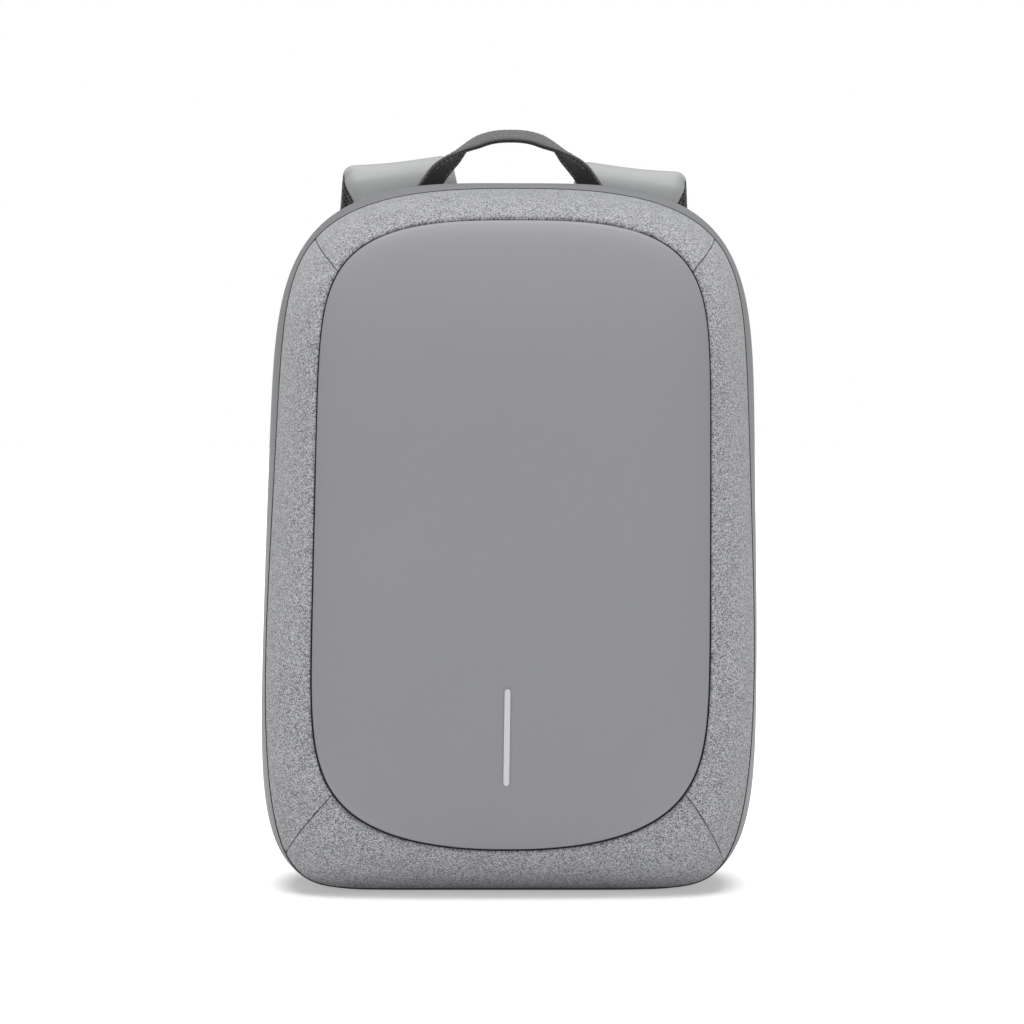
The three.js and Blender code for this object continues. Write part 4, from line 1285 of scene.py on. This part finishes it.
def anchor_tab(side):
    middle_x = side * anchor_middle()
    heights = spread(10, np.array([0.0, 0.01, 0.03, 0.06]))
    section = band_section(13)
    half = mix(ANCHOR_WIDTH, WEBBING_WIDTH, heights) / 2
    z = ANCHOR_BOTTOM + heights * ANCHOR_HEIGHT
    end = np.sqrt(np.clip(np.minimum(heights, 1 - heights) / 0.03, 0.1, 1))
    base = BACK_FACE + REST_GAP
    y = base + (0.5 + (section[None, :, 1] - 0.5) * end[:, None]) * WEBBING_THICKNESS
    x = middle_x + section[None, :, 0] * half[:, None]
    loops = vector(x, y, z[:, None])
    rows = closed_ends(loops)
    form = Form()
    form.grid(rows, wrap_columns=True)
    rise = np.tile([0.0, 1.0, 0.0], (20, 1))
    low, high = ANCHOR_BOTTOM + 3, ANCHOR_BOTTOM + ANCHOR_HEIGHT - 3
    wide, slim = ANCHOR_WIDTH / 2 - 3, WEBBING_WIDTH / 2 - 2
    corners = [(-wide, low), (wide, low), (slim, high), (-slim, high)]
    for a, b in ((0, 1), (1, 2), (2, 3), (3, 0), (0, 2), (1, 3)):
        share = np.linspace(0, 1, 20)[:, None]
        flat = mix(np.array([corners[a]]), np.array([corners[b]]), share)
        path = vector(middle_x + flat[:, 0], base + WEBBING_THICKNESS, flat[:, 1])
        form.stitches(path, rise)
    return form


# Light, floor and camera

def aimed(position, target):
    way = Vector(target) - Vector(position)
    return way.to_track_quat("-Z", "Y").to_euler()


def add_camera():
    distance, height, turn = 2.1, 0.300, math.radians(-0.5)
    aside = 0.0033
    position = (aside + distance * math.sin(turn), -distance * math.cos(turn), height)
    data = bpy.data.cameras.new("camera")
    data.lens = 116.1
    data.sensor_width = 36
    camera = bpy.data.objects.new("camera", data)
    camera.location = position
    camera.rotation_euler = aimed(position, (aside, 0.0, 0.2404))
    bpy.context.scene.collection.objects.link(camera)
    bpy.context.scene.camera = camera


def add_sun(name, position, strength, spread_angle):
    """Wide soft sun, which stands for a large softbox and lights the floor evenly."""
    data = bpy.data.lights.new(name, "SUN")
    data.energy = strength
    data.angle = math.radians(spread_angle)
    light = bpy.data.objects.new(name, data)
    light.location = position
    light.rotation_euler = aimed(position, (0.0, 0.0, 0.0))
    bpy.context.scene.collection.objects.link(light)


def add_world(seen, light):
    """White surroundings: seen is how bright they look, and light how strongly they light."""
    world = bpy.data.worlds.new("studio")
    bpy.context.scene.world = world
    world.use_nodes = True
    tree = world.node_tree
    lit = tree.nodes["Background"]
    lit.inputs[1].default_value = light
    shown = tree.nodes.new("ShaderNodeBackground")
    shown.inputs[1].default_value = seen
    for background in (lit, shown):
        background.inputs[0].default_value = (1.0, 1.0, 1.0, 1.0)
    path = tree.nodes.new("ShaderNodeLightPath")
    either = tree.nodes.new("ShaderNodeMixShader")
    tree.links.new(path.outputs["Is Camera Ray"], either.inputs[0])
    tree.links.new(lit.outputs[0], either.inputs[1])
    tree.links.new(shown.outputs[0], either.inputs[2])
    tree.links.new(either.outputs[0], tree.nodes["World Output"].inputs[0])


def add_studio():
    scene = bpy.context.scene
    scene.view_settings.view_transform = "Standard"
    add_world(1.0, 0.10)
    add_sun("overhead", (0.0, -0.2, 2.0), 3.85, 46)
    add_sun("front", (0.0, -2.0, 0.25), 0.5, 40)
    size = 30.0
    points = [(-size, -size, 0), (size, -size, 0), (size, size, 0), (-size, size, 0)]
    data = bpy.data.meshes.new("floor")
    data.from_pydata(points, [], [(0, 1, 2, 3)])
    floor = bpy.data.objects.new("floor", data)
    data.materials.append(white_floor("floor"))
    scene.collection.objects.link(floor)


# The dressed part

def dress():
    smooth = coated_cloth("smooth_panel", tone(137, 138, 141), tone(144, 144, 149))
    gusset = coated_cloth("smooth_gusset", tone(118, 119, 121), tone(126, 127, 129))
    strap = coated_cloth("smooth_strap", tone(160, 161, 162), tone(168, 169, 170))
    melange = melange_cloth("melange")
    mesh = air_mesh("air_mesh", tone(22, 22, 23), tone(84, 85, 86))
    lining = air_mesh("handle_mesh", tone(36, 36, 37), tone(78, 78, 79), 1.3)
    webbing = woven_band("webbing", tone(84, 84, 84), tone(126, 127, 125))
    dark = woven_band("dark_trim", tone(22, 23, 27), tone(48, 50, 58), 0.7)
    plastic = moulded_plastic("plastic", tone(38, 39, 41), tone(46, 47, 49))
    pale_thread = thread("pale_thread", tone(120, 120, 121), tone(160, 160, 161))
    film = light_film("reflective")

    # Tones of the dark cord in the front seam: painted shade of the groove between gusset and fabric
    seam_shade = woven_band("painted_seam_shade", tone(50, 50, 52), tone(76, 76, 78), 0.7)
    made = piece("gusset", side_gusset(), ["side_gusset"], "smooth_gusset", gusset, seam_shade)
    flats = {"right": (0.055, 0.36), "top": (0.25, 0.06), "left": (0.055, 0.36), "bottom": (0.27, 0.06)}
    for i, (word, flat) in enumerate(flats.items()):
        made = piece(f"fabric_{word}", frame_piece(i), [f"frame_{word}"], "melange", melange)
    made = piece("panel", front_panel(), ["front_panel"], "smooth_panel", smooth)
    piece("piping", panel_piping(), ["panel_piping"], "dark_trim", dark)
    piece("strip", light_strip(), ["light_strip"], "reflective", film)
    piece("zip", rear_zip(), ["rear_zip"], "dark_trim", dark, plastic)
    piece("slider", zip_slider(), ["zip_slider"], "plastic", plastic)
    made = piece("back_pad", back_panel(), ["back_panel"], "air_mesh", mesh)
    cover = handle_layer(REST_GAP / 2, REST_GAP / 2 + HANDLE_LAYER)
    made = piece("handle_top", cover, ["handle_cover"], "webbing", webbing, pale_thread)
    under = handle_layer(-REST_GAP / 2, -REST_GAP / 2 - HANDLE_LAYER)
    made = piece("handle_under", under, ["handle_lining"], "air_mesh", lining, pale_thread)
    for word, side in (("left", -1), ("right", 1)):
        form = strap_layer(side, True)
        made = piece(f"strap_face_{word}", form, [f"strap_cover_{word}"], "smooth_strap", strap)
        form = strap_layer(side, False)
        made = piece(f"strap_pad_{word}", form, [f"strap_lining_{word}"], "air_mesh", mesh)
        made = piece(f"tab_{word}", strap_tab(side), [f"strap_tab_{word}"], "webbing", webbing)
        piece(f"lock_{word}", adjuster(side), [f"adjuster_{word}"], "plastic", plastic)
        form = lower_webbing(side)
        nodes = [f"lower_webbing_{word}"]
        made = piece(f"webbing_{word}", form, nodes, "webbing", webbing, pale_thread)
        form = anchor_tab(side)
        nodes = [f"anchor_tab_{word}"]
        made = piece(f"anchor_{word}", form, nodes, "smooth_gusset", gusset, pale_thread)


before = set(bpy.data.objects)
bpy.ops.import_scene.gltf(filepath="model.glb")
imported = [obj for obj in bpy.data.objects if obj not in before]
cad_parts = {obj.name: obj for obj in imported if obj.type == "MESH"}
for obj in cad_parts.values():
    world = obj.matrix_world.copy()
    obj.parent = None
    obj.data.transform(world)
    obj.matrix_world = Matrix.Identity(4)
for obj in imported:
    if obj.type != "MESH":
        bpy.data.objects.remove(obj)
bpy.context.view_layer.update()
add_camera()
add_studio()
dress()
